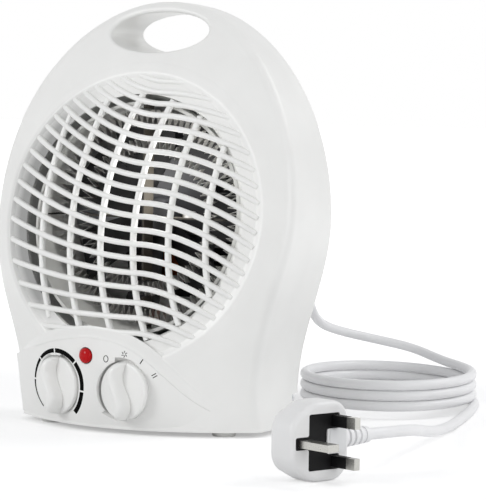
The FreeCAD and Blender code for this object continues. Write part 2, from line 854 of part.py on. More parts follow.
def make_lamp():
    flange = lamp_radius + pocket_gap
    sphere = (flange ** 2 + lamp_dome ** 2) / (2 * lamp_dome)
    dome = Part.makeSphere(sphere)
    dome.translate(Vector(0, sphere - lamp_dome - knob_float, 0))
    dome = dome.common(cylinder_y(flange, -overrun, -knob_float))
    lens = dome.fuse(cylinder_y(lamp_radius, -knob_float, control_boss_depth - wall))
    lens = lens.cut(cylinder_y(lamp_radius - lamp_wall, 0, overrun))
    back = control_boss_depth - wall
    holder = cylinder_y(lamp_holder_radius, back, back + lamp_holder_depth)
    holder = holder.cut(cylinder_y(neon_radius + screw_gap, -overrun, back + lamp_holder_depth / 2))
    neon = cylinder_y(neon_radius, back + lamp_holder_depth / 2 - neon_length, back + lamp_holder_depth / 2)
    return [control_frame(shape, lamp_x, lamp_height) for shape in (lens, holder, neon)]


# Lead: gland, inner stretch, terminal block and clamp
def make_gland():
    y = rear_y
    step = gland_length / gland_rib_count
    gland = cylinder_y(gland_root - screw_gap, y - wall, y, exit_x, exit_height)
    gland = gland.fuse(cylinder_y(gland_flange, y, y + gland_flange_thickness, exit_x, exit_height))
    start = y + gland_flange_thickness
    place = Vector(exit_x, start, exit_height)
    tail = Part.makeCone(gland_root, gland_tip, gland_length, place, BACK)
    grooves = []
    for index in range(gland_rib_count - 1):
        middle = start + step * (index + 1)
        ring = cylinder_y(gland_root + wall, middle - step * gland_groove_share,
                          middle + step * gland_groove_share, exit_x, exit_height)
        grooves.append(ring.cut(cylinder_y(gland_tip - gland_rib / 2, start, start + gland_length,
                                           exit_x, exit_height)))
    return gland.fuse(tail.cut(grooves))


def make_cord_inner():
    return cylinder_y(cord_radius, rear_y - wall - inner_cord_length, rear_y - wall, exit_x, exit_height)


def make_terminal_block():
    wide, deep, high = terminal_size
    y = rear_y - wall - inner_cord_length
    block = box(exit_x - wide / 2, exit_x + wide / 2, y - deep, y, exit_height - high / 2, exit_height + high / 2)
    grooves = []
    for side in (-1, 1):
        z = exit_height + side * terminal_groove_at
        grooves.append(box(exit_x - wide, exit_x + wide, y - deep, y - deep + terminal_groove_depth,
                           z - terminal_groove / 2, z + terminal_groove / 2))
    return block.cut(grooves)


def make_cord_clamp():
    wide, deep, high = clamp_size
    y = rear_y - wall
    low = exit_height - cord_radius - high
    return box(exit_x - wide / 2, exit_x + wide / 2, y - deep, y, low, low + high)


# Free lead: runs joined by tangent arcs
def tube_path(points, label):
    bend_share = 0.45
    edges, length, radii = [], 0.0, []
    start = points[0]
    for before, corner, after in zip(points, points[1:], points[2:]):
        into, out = (corner - before), (after - corner)
        shorter = min(into.Length, out.Length)
        into.normalize()
        out.normalize()
        turn = into.getAngle(out)
        cut = bend_share * shorter
        radii.append(cut / math.tan(turn / 2))
        first, last = corner - into * cut, corner + out * cut
        bisector = (out - into).normalize()
        middle = corner + bisector * (radii[-1] / math.cos(turn / 2) - radii[-1])
        edges += [Part.LineSegment(start, first).toShape(), Part.Arc(first, middle, last).toShape()]
        start = last
    edges.append(Part.LineSegment(start, points[-1]).toShape())
    print(label, "radii", [round(radius, 1) for radius in radii])
    return Part.Wire(edges)


def sweep_tube(path, label):
    first = path.Edges[0]
    start = first.Vertexes[0].Point
    ring = Part.Wire(Part.makeCircle(cord_radius, start, first.tangentAt(first.FirstParameter)))
    tube = path.makePipeShell([ring], True, False)
    ideal = math.pi * cord_radius ** 2 * path.Length
    print(label, "length", round(path.Length, 1), "volume ratio", round(tube.Volume / ideal, 4))
    return tube


# Coil: three oval turns stacked a little apart
coil_pitch = 2 * cord_radius + coil_gap_free
coil_right = Vector(math.cos(math.radians(coil_turn)), math.sin(math.radians(coil_turn)), 0)
coil_away = Vector(-coil_right.y, coil_right.x, 0)


def coil_point(travel):
    # travel counts turns from the top, clockwise seen from above
    angle = math.radians(coil_start - 360 * travel)
    flat = coil_right * (coil_half_width * math.cos(angle)) + coil_away * (coil_half_depth * math.sin(angle))
    level = cord_radius + coil_rest + coil_pitch * (coil_turns - travel)
    return Vector(coil_centre[0], coil_centre[1], level) + flat


def coil_tangent(travel):
    angle = math.radians(coil_start - 360 * travel)
    flat = coil_right * (coil_half_width * math.sin(angle)) - coil_away * (coil_half_depth * math.cos(angle))
    return (flat * (2 * math.pi) + Vector(0, 0, -coil_pitch)).normalize()


def tangent_arc(start, direction, end):
    chord = end - start
    across = chord - direction * chord.dot(direction)
    across.normalize()
    radius = chord.Length ** 2 / (2 * chord.dot(across))
    centre = start + across * radius
    bisector = (start + end) * 0.5 - centre
    bisector.normalize()
    return Part.Arc(start, centre + bisector * radius, end).toShape()


def biarc(p0, t0, p1, t1):
    chord = p1 - p0
    total = t0 + t1
    spread = 2 * (1 - t0.dot(t1))
    reach = chord.dot(total)
    size = (math.sqrt(reach ** 2 + spread * chord.dot(chord)) - reach) / spread
    joint = (p0 + p1 + (t0 - t1) * size) * 0.5
    second = tangent_arc(p1, t1 * -1, joint)
    return [tangent_arc(p0, t0, joint), second]


straight = 2 * cord_radius
coil_in = coil_point(0) - coil_tangent(0) * straight
coil_out = coil_point(coil_turns) + coil_tangent(coil_turns) * straight


def make_cord_coil():
    steps = 8 * coil_turns
    edges = [Part.LineSegment(coil_in, coil_point(0)).toShape()]
    for index in range(steps):
        a, b = coil_turns * index / steps, coil_turns * (index + 1) / steps
        edges += biarc(coil_point(a), coil_tangent(a), coil_point(b), coil_tangent(b))
    edges.append(Part.LineSegment(coil_point(coil_turns), coil_out).toShape())
    path = Part.Wire(edges)
    samples = path.discretize(360)
    skip = len(samples) // (2 * coil_turns)
    least = min((samples[i] - samples[j]).Length for i in range(len(samples))
                for j in range(i + skip, len(samples)))
    print("coil least gap", round(least - 2 * cord_radius, 2))
    return sweep_tube(path, "cord_coil")


gland_end = Vector(exit_x, rear_y + gland_flange_thickness + gland_length, exit_height)
lead_points = [gland_end] + [Vector(*place) for place in lead_route]
lead_points += [coil_in - coil_tangent(0) * cord_run_in, coil_in]


# Plug, built with its pins along +X and its lead leaving along +Y
def plug_frame(shape):
    shape = shape.copy()
    shape.rotate(Vector(0, 0, 0), UP, plug_turn)
    shape.translate(Vector(plug_place[0], plug_place[1], plug_half_width))
    return shape


def plug_block(x0, x1):
    nose, wide, long = plug_nose_half_width, plug_half_width, plug_half_length
    corners = [(long, -wide), (long, wide), (plug_taper_from, wide), (-long, nose), (-long, -nose),
               (plug_taper_from, -wide)]
    points = [Vector(x0, y, z) for y, z in corners]
    block = Part.Face(Part.makePolygon(points + points[:1])).extrude(Vector(x1 - x0, 0, 0))
    return block.makeFillet(plug_corner, edges_where(block, lambda e: abs(e.tangentAt(0).x) > aligned_share))


def insert_block(x0, x1):
    # A bar across the face, with arms to the three pins
    low, high, reach = insert_bar
    bar = box(x0, x1, low, high, -reach, reach)
    end, half = insert_earth
    arms = [box(x0, x1, end, high, -half, half)]
    end, inner = insert_live
    arms += [box(x0, x1, low, end, *sorted((side * inner, side * reach))) for side in (-1, 1)]
    block = bar.fuse(arms).removeSplitter()
    return block.makeFillet(insert_corner, edges_where(block, lambda e: abs(e.tangentAt(0).x) > aligned_share))


live_y = earth_spacing - (plug_half_length - earth_from_edge)
earth_y = live_y - earth_spacing
relief_x = -plug_thickness / 2


def pin_boxes(grow):
    wide, thin, long = live_size
    pins = []
    for side in (-1, 1):
        z = side * pin_spacing / 2
        pins.append(box(-plug_insert_depth, long, live_y - thin / 2 - grow, live_y + thin / 2 + grow,
                        z - wide / 2 - grow, z + wide / 2 + grow))
    wide, thin, long = earth_size
    pins.append(box(-plug_insert_depth, long, earth_y - wide / 2 - grow, earth_y + wide / 2 + grow,
                    -thin / 2 - grow, thin / 2 + grow))
    return pins


def make_plug():
    body = plug_block(-plug_thickness, 0)
    half = plug_thickness / 2
    rim = edges_where(body, lambda e: abs(abs(e.CenterOfMass.x + half) - half) < inset_near)
    body = body.makeFillet(plug_edge_round, rim)
    wide, high = fuse_carrier_size
    carrier = box(-plug_insert_depth / 2, plug_insert_sink / 2, fuse_carrier_from, fuse_carrier_from + wide,
                  -high / 2, high / 2)
    insert = insert_block(-plug_insert_depth, -plug_insert_sink).cut([carrier] + pin_boxes(0))
    pocket = insert_block(-plug_insert_depth, overrun).fuse(carrier)
    place = Vector(relief_x, plug_half_length, 0)
    relief = Part.makeCone(plug_relief_root, plug_relief_tip, plug_relief_length, place, BACK)
    step = plug_relief_length / gland_rib_count
    grooves = []
    for index in range(1, gland_rib_count):
        y = plug_half_length + index * step
        ring = cylinder_y(plug_relief_root + wall, y - step * gland_groove_share,
                          y + step * gland_groove_share, relief_x, 0)
        grooves.append(ring.cut(cylinder_y(plug_relief_tip - gland_rib / 2, plug_half_length, y + step, relief_x, 0)))
    pieces = [body.cut(pocket), insert, carrier, relief.cut(grooves)] + pin_boxes(0)
    names = ["plug_body", "plug_insert", "plug_fuse_carrier", "plug_strain_relief",
             "plug_line_pin", "plug_neutral_pin", "plug_earth_pin"]
    return zip(names, [plug_frame(piece) for piece in pieces])


relief_end = plug_frame(Part.Vertex(Vector(relief_x, plug_half_length + plug_relief_length, 0))).Point
relief_way = Vector(-math.sin(math.radians(plug_turn)), math.cos(math.radians(plug_turn)), 0)
tail_points = [coil_out, coil_out + coil_tangent(coil_turns) * cord_run_out]
tail_points += [Vector(*place) for place in tail_route]
tail_points += [relief_end + relief_way * cord_run_plug, relief_end]


def main():
    export("front_shell", make_front_shell())
    export("front_grille", make_front_grille())
    export("grille_ribs", make_grille_ribs())
    export("rear_shell", make_rear_shell())
    export("rear_grille", make_rear_grille())
    export("feet", make_feet())
    screws = [screw_y(parting_y + wall, x, z, screw_bite) for x, z in boss_places()]
    export("casing_screws", Part.makeCompound(screws))
    export("fan_duct", make_fan_duct())
    screws = [screw_y(duct_rear_y, x, z, screw_bite) for x, z in duct_places()]
    export("duct_screws", Part.makeCompound(screws))
    level, upright = make_mica_boards()
    export("mica_board_level", level)
    export("mica_board_upright", upright)
    export("element_outer", make_element(element_outer_radii, element_outer_teeth))
    export("element_inner", make_element(element_inner_radii, element_inner_teeth))
    cutout, fuse = make_safety_devices()
    export("thermal_cutout", cutout)
    export("thermal_fuse", fuse)
    export("fan_impeller", make_impeller())
    export("motor_shaft", cylinder_y(motor_shaft_radius, hub_front_y + hub_round,
                                     rear_bush_y + bush_length + rotor_end_gap, 0, axis_height))
    export("motor_rotor", make_rotor())
    export("motor_stator", make_stator())
    export("motor_coil", make_motor_coil())
    export("motor_bracket_front", make_bracket(duct_radius + duct_wall, duct_rear_y))
    export("motor_bracket_rear", make_bracket(stator_half_width, stator_rear_y))
    export("bearing_front", make_bush(front_bush_y))
    export("bearing_rear", make_bush(rear_bush_y))
    length = 2 * bracket_thickness + stator_depth
    screws = [screw_y(stator_rear_y + bracket_thickness, x, axis_height + motor_screw_height, length)
              for x in (-motor_screw_x, motor_screw_x)]
    export("motor_screws", Part.makeCompound(screws))
    export("thermostat_knob", make_knob(thermostat_x))
    export("thermostat_shaft", make_control_shaft(thermostat_x))
    export("thermostat_body", make_thermostat_body())
    export("switch_knob", make_knob(switch_x))
    export("switch_shaft", make_control_shaft(switch_x))
    export("switch_body", make_switch_body())
    for name, shape in zip(("lamp_lens", "lamp_holder", "neon_lamp"), make_lamp()):
        export(name, shape)
    export("cord_gland", make_gland())
    export("cord_inner", make_cord_inner())
    export("terminal_block", make_terminal_block())
    export("cord_clamp", make_cord_clamp())
    export("cord_lead", sweep_tube(tube_path(lead_points, "lead"), "cord_lead"))
    export("cord_coil", make_cord_coil())
    export("cord_tail", sweep_tube(tube_path(tail_points, "tail"), "cord_tail"))
    for name, shape in make_plug():
        export(name, shape)


main()
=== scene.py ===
import math

import bmesh
import bpy
from bpy.props import FloatProperty, PointerProperty
from mathutils import Matrix, Vector
from mathutils.bvhtree import BVHTree


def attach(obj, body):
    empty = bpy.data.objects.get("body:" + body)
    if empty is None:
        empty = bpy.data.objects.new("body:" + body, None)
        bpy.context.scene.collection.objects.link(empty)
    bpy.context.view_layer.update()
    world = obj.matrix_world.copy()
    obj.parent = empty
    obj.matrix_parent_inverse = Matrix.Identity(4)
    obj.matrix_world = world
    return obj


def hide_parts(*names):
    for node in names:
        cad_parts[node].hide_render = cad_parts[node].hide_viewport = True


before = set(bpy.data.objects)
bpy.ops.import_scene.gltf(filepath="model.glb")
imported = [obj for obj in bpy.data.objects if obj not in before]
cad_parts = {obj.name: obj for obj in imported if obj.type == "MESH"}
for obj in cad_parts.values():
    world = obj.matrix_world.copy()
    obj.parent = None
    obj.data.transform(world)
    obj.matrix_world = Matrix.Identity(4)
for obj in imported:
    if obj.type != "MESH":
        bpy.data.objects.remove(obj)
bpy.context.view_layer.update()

bl_info = {
    "name": "Upright fan heater",
    "version": (1, 0, 0),
    "blender": (4, 5, 0),
    "location": "View3D > Sidebar > Heater",
    "description": "Dresses the fan heater's solids with its grille, controls, lead and finishes",
    "category": "Add Mesh",
}

# The casing's and the grille's sizes in millimetres, fitted to the part's solids
HEIGHT, HALF_WIDTH, FRONT_Y = 270.0, 107.0, -45.4
SKIN_RISE, SKIN_RISE_HEIGHT = 62.0, 60.0
BOW_BASE, BOW_MIDDLE, BOW_TOP, BOW_HEIGHT = 50.0, 24.0, 15.0, 110.0
AXIS_HEIGHT, GRILLE_RADIUS, MOUTH_RADIUS, MOUTH_X, SLOT_END = 133.0, 94.0, 78.5, -5.0, 90.5
DUCT_RADIUS, DUCT_MOUTH_Y = 70.4, 12.0
ROW_COUNT, ROW_TOP, ROW_PITCH, ROW_GROWTH = 19, 208.0, 7.05, 0.07
SLAT_MIDDLE, RISE_TOP, RISE_BOTTOM, DROP_TOP, DROP_BOTTOM = 14.0, 68.0, -1.5, 20.5, 46.0
RISE_POWER, DROP_POWER = 1.7, 1.8
RIB_COUNT, RIB_PITCH, RIB_OFFSET, RIB_BOW = 7, 23.6, 8.0, 20.0
PANEL_HEIGHT, PANEL_STEP, PANEL_SINK, FLOOR_GAP = 60.0, 4.0, 1.0, 3.0
# Where the raised panel starts at the left, the right and the foot, and how long each rise is, in shares
PANEL_LEFT, PANEL_LEFT_RUN, PANEL_RIGHT, PANEL_RIGHT_RUN, PANEL_FOOT_RUN = -0.97, 0.22, 0.22, 0.46, 0.22
KNOB_HEIGHT, THERMOSTAT_X, SWITCH_X, THERMOSTAT_TURN, SWITCH_TURN = 27.5, -42.0, 10.0, 17.0, 10.0
LAMP_X, LAMP_HEIGHT, LAMP_RADIUS, LAMP_DOME = -17.7, 47.8, 4.7, 2.6
MM = 0.001
# Points closer than the weld become one; a pole is a ring narrower than that
WELD, POLE = 0.02, 0.004


def smooth(value):
    """A soft step from 0 to 1."""
    value = min(1.0, max(0.0, value))
    return value * value * (3 - 2 * value)


def skin(x, z):
    """The front skin's depth y at x, z, in millimetres."""
    lean = max(0.0, (z - SKIN_RISE_HEIGHT) / (HEIGHT - SKIN_RISE_HEIGHT))
    low = BOW_BASE + (BOW_MIDDLE - BOW_BASE) * smooth(z / BOW_HEIGHT)
    high = (BOW_MIDDLE - BOW_TOP) * smooth((z - BOW_HEIGHT) / (HEIGHT - BOW_HEIGHT))
    return FRONT_Y + SKIN_RISE * lean ** 2 + (low - high) * (x / HALF_WIDTH) ** 2


def panel_surface(x, z):
    """The raised control panel's depth y at x, z, in millimetres."""
    window = smooth((x / HALF_WIDTH - PANEL_LEFT) / PANEL_LEFT_RUN)
    window *= 1 - smooth((x / HALF_WIDTH - PANEL_RIGHT) / PANEL_RIGHT_RUN)
    window *= smooth((z - FLOOR_GAP) / (PANEL_HEIGHT * PANEL_FOOT_RUN))
    return skin(x, z) + PANEL_SINK - (PANEL_STEP + PANEL_SINK) * window


def linear(code):
    """An sRGB hex code as linear colour with alpha."""
    values = [int(code[i:i + 2], 16) / 255 for i in (1, 3, 5)]
    return [v / 12.92 if v <= 0.04045 else ((v + 0.055) / 1.055) ** 2.4 for v in values] + [1.0]


def add(tree, kind, settings=None, inputs=None):
    """Adds a node: settings are its properties, inputs are values or (node, output) links."""
    node = tree.nodes.new(kind)
    for name, value in (settings or {}).items():
        setattr(node, name, value)
    for key, value in (inputs or {}).items():
        socket = node.inputs[key]
        if isinstance(value, tuple) and isinstance(value[0], bpy.types.Node):
            tree.links.new(value[0].outputs[value[1]], socket)
        else:
            socket.default_value = value
    return node


def material(name):
    """A new node material with only its output."""
    made = bpy.data.materials.new(name)
    made.use_nodes = True
    made.node_tree.nodes.clear()
    out = made.node_tree.nodes.new("ShaderNodeOutputMaterial")
    return made, made.node_tree, out


CLOUD_MM, CLOUD_LOW, CLOUD_HIGH, GRAIN_RELIEF, LINE_RELIEF = 38.0, 0.3, 0.7, 0.05, 0.03


def moulded(name, dark, light, roughness, grain_mm, bump, **shader):
    """A moulded plastic: faint cloudy colour, a little uneven gloss, fine spark texture."""
    made, tree, out = material(name)
    place = add(tree, "ShaderNodeTexCoord")
    cloud = add(tree, "ShaderNodeTexNoise", {}, {
        "Vector": (place, "Object"), "Scale": 1 / (CLOUD_MM * MM), "Detail": 3.0})
    tint = add(tree, "ShaderNodeValToRGB", {}, {"Fac": (cloud, "Fac")})
    for stop, code, position in zip(tint.color_ramp.elements, (dark, light), (CLOUD_LOW, CLOUD_HIGH)):
        stop.color, stop.position = linear(code), position
    gloss = add(tree, "ShaderNodeMapRange", {}, {
        "Value": (cloud, "Fac"), "To Min": roughness - 0.03, "To Max": roughness + 0.04})
    grain = add(tree, "ShaderNodeTexNoise", {}, {
        "Vector": (place, "Object"), "Scale": 1 / (grain_mm * MM), "Detail": 2.0})
    relief = add(tree, "ShaderNodeBump", {}, {
        "Height": (grain, "Fac"), "Strength": bump, "Distance": GRAIN_RELIEF * MM})
    values = {"Base Color": (tint, "Color"), "Roughness": (gloss, "Result"), "Normal": (relief, "Normal")}
    values.update(shader)
    surface = add(tree, "ShaderNodeBsdfPrincipled", {}, values)
    tree.links.new(surface.outputs["BSDF"], out.inputs["Surface"])
    return made


def metal(name, code, roughness, stretch_mm, bump):
    """A metal with fine lines from rolling or drawing."""
    made, tree, out = material(name)
    place = add(tree, "ShaderNodeTexCoord")
    scale = add(tree, "ShaderNodeMapping", {}, {
        "Vector": (place, "Object"), "Scale": [1 / (s * MM) for s in stretch_mm]})
    lines = add(tree, "ShaderNodeTexNoise", {}, {"Vector": (scale, "Vector"), "Scale": 1.0, "Detail": 3.0})
    gloss = add(tree, "ShaderNodeMapRange", {}, {
        "Value": (lines, "Fac"), "To Min": roughness - 0.08, "To Max": roughness + 0.1})
    relief = add(tree, "ShaderNodeBump", {}, {
        "Height": (lines, "Fac"), "Strength": bump, "Distance": LINE_RELIEF * MM})
    surface = add(tree, "ShaderNodeBsdfPrincipled", {}, {
        "Base Color": linear(code), "Metallic": 1.0, "Roughness": (gloss, "Result"),
        "Normal": (relief, "Normal")})
    tree.links.new(surface.outputs["BSDF"], out.inputs["Surface"])
    return made


def dress(made, *nodes):
    """Gives CAD nodes a material."""
    for node in nodes:
        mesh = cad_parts[node].data
        mesh.materials.clear()
        mesh.materials.append(made)


def piece(name, mesh, body, slot, *replaced):
    """Links a finished mesh as a piece of the object."""
    made = bpy.data.objects.new(name, mesh)
    bpy.context.collection.objects.link(made)
    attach(made, body)
    if replaced:
        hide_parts(*replaced)
    return made


def sweep_group(name):
    """A node tree that sweeps a rounded bar along lines, its depth kept along Y."""
    tree = bpy.data.node_groups.new(name, "GeometryNodeTree")
    tree.interface.new_socket("Lines", in_out="INPUT", socket_type="NodeSocketGeometry")
    for label in ("Depth", "Thickness", "Round"):
        tree.interface.new_socket(label, in_out="INPUT", socket_type="NodeSocketFloat")
    tree.interface.new_socket("Finish", in_out="INPUT", socket_type="NodeSocketMaterial")
    tree.interface.new_socket("Bars", in_out="OUTPUT", socket_type="NodeSocketGeometry")
    given = add(tree, "NodeGroupInput")
    path = add(tree, "GeometryNodeMeshToCurve", {}, {"Mesh": (given, "Lines")})
    level = add(tree, "GeometryNodeSetCurveNormal", {"mode": "FREE"},
                {"Curve": (path, "Curve"), "Normal": (0, 1, 0)})
    section = add(tree, "GeometryNodeCurvePrimitiveQuadrilateral", {"mode": "RECTANGLE"},
                  {"Width": (given, "Depth"), "Height": (given, "Thickness")})
    rounded = add(tree, "GeometryNodeFilletCurve", {"mode": "POLY"},
                  {"Curve": (section, "Curve"), "Radius": (given, "Round"), "Count": 5, "Limit Radius": True})
    swept = add(tree, "GeometryNodeCurveToMesh", {}, {
        "Curve": (level, "Curve"), "Profile Curve": (rounded, "Curve"), "Fill Caps": True})
    soft = add(tree, "GeometryNodeSetShadeSmooth", {}, {"Geometry": (swept, "Mesh"), "Shade Smooth": True})
    real = add(tree, "GeometryNodeRealizeInstances", {}, {"Geometry": (soft, "Geometry")})
    done = add(tree, "GeometryNodeSetMaterial", {}, {
        "Geometry": (real, "Geometry"), "Material": (given, "Finish")})
    add(tree, "NodeGroupOutput", {}, {"Bars": (done, "Geometry")})
    return tree


def run_group(tree, mesh, values):
    """The plain mesh that a node tree makes of a mesh, with its named inputs set."""
    holder = bpy.data.objects.new(tree.name, mesh)
    bpy.context.collection.objects.link(holder)
    modifier = holder.modifiers.new(tree.name, "NODES")
    modifier.node_group = tree
    for item in tree.interface.items_tree:
        if item.in_out == "INPUT" and item.name in values:
            modifier[item.identifier] = values[item.name]
    made = bpy.data.meshes.new_from_object(holder.evaluated_get(bpy.context.evaluated_depsgraph_get()))
    holder.modifiers.clear()
    bpy.data.objects.remove(holder)
    return made


def lines_mesh(name, lines):
    """A mesh of open lines of points in millimetres."""
    points, edges = [], []
    for line in lines:
        start = len(points)
        points += [Vector(p) * MM for p in line]
        edges += [(start + i, start + i + 1) for i in range(len(line) - 1)]
    mesh = bpy.data.meshes.new(name)
    mesh.from_pydata(points, edges, [])
    return mesh


def grid_mesh(name, rows, made, around=False, smooth_faces=True):
    """A mesh of quads over rows of points in millimetres; around closes each row on itself."""
    width = len(rows[0])
    points = [Vector(p) * MM for row in rows for p in row]
    faces = []
    for r in range(len(rows) - 1):
        for c in range(width if around else width - 1):
            d = (c + 1) % width
            faces.append((r * width + c, r * width + d, (r + 1) * width + d, (r + 1) * width + c))
    mesh = bpy.data.meshes.new(name)
    mesh.from_pydata(points, [], faces)
    mesh.materials.append(made)
    if smooth_faces:
        mesh.polygons.foreach_set("use_smooth", [True] * len(mesh.polygons))
    return mesh


def joined(name, *meshes):
    """One closed mesh of several: seams and poles welded, ends capped, faces outward, one material."""
    work = bmesh.new()
    for mesh in meshes:
        work.from_mesh(mesh)
    bmesh.ops.remove_doubles(work, verts=work.verts, dist=WELD * MM)
    bmesh.ops.holes_fill(work, edges=[e for e in work.edges if e.is_boundary], sides=0)
    bmesh.ops.recalc_face_normals(work, faces=work.faces)
    made = bpy.data.meshes.new(name)
    work.to_mesh(made)
    work.free()
    made.materials.append(meshes[0].materials[0])
    return made


class CordSettings(bpy.types.PropertyGroup):
    diameter: FloatProperty(
        name="Diameter", description="Outside diameter of the lead",
        default=0.0068, subtype="DISTANCE", unit="LENGTH")


class GrilleSettings(bpy.types.PropertyGroup):
    slat_depth: FloatProperty(
        name="Slat depth", description="Depth of a slat from front to back",
        default=0.0046, subtype="DISTANCE", unit="LENGTH")
    slat_thickness: FloatProperty(
        name="Slat thickness", description="Height of a slat",
        default=0.0034, subtype="DISTANCE", unit="LENGTH")
    rib_setback: FloatProperty(
        name="Rib setback", description="How far the ribs lie behind the slats' fronts",
        default=0.0014, subtype="DISTANCE", unit="LENGTH")
    rib_width: FloatProperty(
        name="Rib width", description="Width of an upright rib",
        default=0.0032, subtype="DISTANCE", unit="LENGTH")
    groove: FloatProperty(
        name="Groove depth", description="Depth of the grooves where the slats run out",
        default=0.0072, subtype="DISTANCE", unit="LENGTH")


class StageSettings(bpy.types.PropertyGroup):
    lens: FloatProperty(
        name="Lens", description="Focal length on a 36 mm sensor",
        default=170.78, subtype="DISTANCE_CAMERA")


# The grooves' painted shade, a darkening of the base colour: its share of the plain colour, and the x and z
# where it starts and is full
PAINTED_GROOVE_SHADE, PAINTED_SHADE_X, PAINTED_SHADE_Z = 0.36, (-30.0, -62.0), (60.0, 80.0)


def painted_groove_shade(white):
    """The casing's plastic with painted shade: its colour darkened at the left of the mouth, where the slats
    would shade the grooves.
    """
    made = white.copy()
    made.name = "White moulded ABS with painted groove shade"
    tree = made.node_tree
    surface = next(n for n in tree.nodes if n.type == "BSDF_PRINCIPLED")
    tint = surface.inputs["Base Color"].links[0].from_node
    place = add(tree, "ShaderNodeTexCoord")
    middle = (MOUTH_X * MM, 0, AXIS_HEIGHT * MM)
    off = add(tree, "ShaderNodeVectorMath", {"operation": "SUBTRACT"}, {0: (place, "Object"), 1: middle})
    flat = add(tree, "ShaderNodeVectorMath", {"operation": "MULTIPLY"}, {0: (off, "Vector"), 1: (1, 0, 1)})
    far = add(tree, "ShaderNodeVectorMath", {"operation": "LENGTH"}, {0: (flat, "Vector")})
    parts = add(tree, "ShaderNodeSeparateXYZ", {}, {"Vector": (place, "Object")})
    loss = None
    for source, (start, full) in (((far, "Value"), (SLOT_END, MOUTH_RADIUS)), ((parts, "X"), PAINTED_SHADE_X),
                                  ((parts, "Z"), PAINTED_SHADE_Z)):
        share = add(tree, "ShaderNodeMapRange", {}, {
            "Value": source, "From Min": start * MM, "From Max": full * MM})
        if loss:
            share = add(tree, "ShaderNodeMath", {"operation": "MULTIPLY"}, {0: (share, 0), 1: (loss, 0)})
        loss = share
    keep = add(tree, "ShaderNodeMapRange", {}, {"Value": (loss, 0), "To Min": 1.0, "To Max": PAINTED_GROOVE_SHADE})
    # Painted shade: the plastic's colour is scaled down where the mask is full
    dim = add(tree, "ShaderNodeVectorMath", {"operation": "SCALE"}, {
        0: (tint, "Color"), "Scale": (keep, "Result")})
    tree.links.new(dim.outputs["Vector"], surface.inputs["Base Color"])
    return made


class HEATER_OT_casing(bpy.types.Operator):
    """Finish the casing's shells, feet and screws"""
    bl_idname = "heater.casing"
    bl_label = "Casing"

    def execute(self, context):
        # Injection-moulded ABS in white: satin, with a very fine spark-eroded grain
        white = moulded("White moulded ABS", "#ECECEA", "#F1F1EF", 0.36, 0.9, 0.25, IOR=1.53)
        dress(white, "rear_shell", "rear_grille")
        # The front shell takes the plastic with painted shade in the grooves at the left of the mouth
        dress(painted_groove_shade(white), "front_shell")
        # White pressed-in rubber, dull beside the plastic
        rubber = moulded("White rubber", "#E8E8E5", "#EEEEEB", 0.72, 0.6, 0.5)
        dress(rubber, "feet")
        # Bright zinc on the screw heads, cool and softly lined
        steel = metal("Zinc-plated steel", "#D8DADC", 0.35, (0.5, 0.5, 0.5), 0.2)
        dress(steel, "casing_screws", "duct_screws", "motor_screws")
        return {"FINISHED"}


def shell_tree():
    """The front shell's faces, for casting rays at."""
    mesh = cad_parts["front_shell"].data
    points = [v.co.copy() for v in mesh.vertices]
    return BVHTree.FromPolygons(points, [tuple(f.vertices) for f in mesh.polygons])


SHELL = shell_tree()


def on_shell(x, z, lift):
    """A point at x, z, lifted off the shell's front face."""
    hit = SHELL.ray_cast(Vector((x * MM, 2 * FRONT_Y * MM, z * MM)), Vector((0, 1, 0)))[0]
    return (x, (hit.y / MM if hit else panel_surface(x, z)) - lift, z)


def row_height(index):
    """Height of a row of slots in the middle of the grille."""
    return ROW_TOP - ROW_PITCH * index - ROW_GROWTH * index ** 2


def wave(x, level):
    """Height of a slat's line at x, for the slat at that level in the middle."""
    low = row_height(ROW_COUNT - 1)
    share = (level - low) / (ROW_TOP - low)
    if x < SLAT_MIDDLE:
        rise = RISE_BOTTOM + (RISE_TOP - RISE_BOTTOM) * share
        return level + rise * ((SLAT_MIDDLE - x) / (SLAT_MIDDLE + GRILLE_RADIUS)) ** RISE_POWER
    drop = DROP_BOTTOM + (DROP_TOP - DROP_BOTTOM) * share
    return level - drop * ((x - SLAT_MIDDLE) / (GRILLE_RADIUS - SLAT_MIDDLE)) ** DROP_POWER


# The panel's upper edge: shares of the half width against shares of the panel's height
PANEL_EDGE = ((-1.1, 0.55), (-0.85, 0.68), (-0.63, 0.82), (-0.42, 0.93), (-0.17, 1.0), (0.05, 0.965),
              (0.19, 0.85), (0.31, 0.68), (0.42, 0.48), (0.54, 0.31), (0.66, 0.2), (0.78, 0.12))
EDGE_ROUND, EDGE_SAMPLES = 2.0, 3


def panel_edge(x):
    """Height of the control panel's wave-shaped upper edge at x."""
    x /= HALF_WIDTH
    for (x0, z0), (x1, z1) in zip(PANEL_EDGE, PANEL_EDGE[1:]):
        if x0 <= x <= x1:
            return PANEL_HEIGHT * (z0 + (z1 - z0) * (x - x0) / (x1 - x0))
    return 0.0


def edge_soft(x):
    """The panel's edge with its corners rounded off."""
    samples = [panel_edge(x + EDGE_ROUND * k) for k in range(-EDGE_SAMPLES, EDGE_SAMPLES + 1)]
    return sum(samples) / len(samples)


# Slats: rows past the top one, run past the slots' ends, sink into the rim there, gap to the panel
EXTRA_ROWS, SLAT_PAST, SLAT_SINK, SLAT_SINK_START, SLAT_OVER_PANEL, SLAT_POINTS = 3, 1.5, 1.0, 3.0, 0.5, 8
SLAT_ROUND, RIB_ROUND, RIB_HALF_CHORD, RIB_HALF_RUN, RIB_STEP = 0.46, 0.4, 90.0, 88, 2
# Ring and duct wall: lip behind the grooves, overlap with the duct wall, tuck under the panel's edge
RING_POINTS, RING_ROWS, RING_WALL, SHEET_WALL = 360, 16, 1.5, 1.2
GROOVE_POWER, LIP_DROP, LIP_OVERLAP, EDGE_TUCK = 0.8, 3.0, 2.5, 1.0
# How far past the grille the ring's edge goes, and its lift off the shell there
RING_EDGE = ((1.2, 0.1), (3.0, 0.04), (5.5, -0.15))
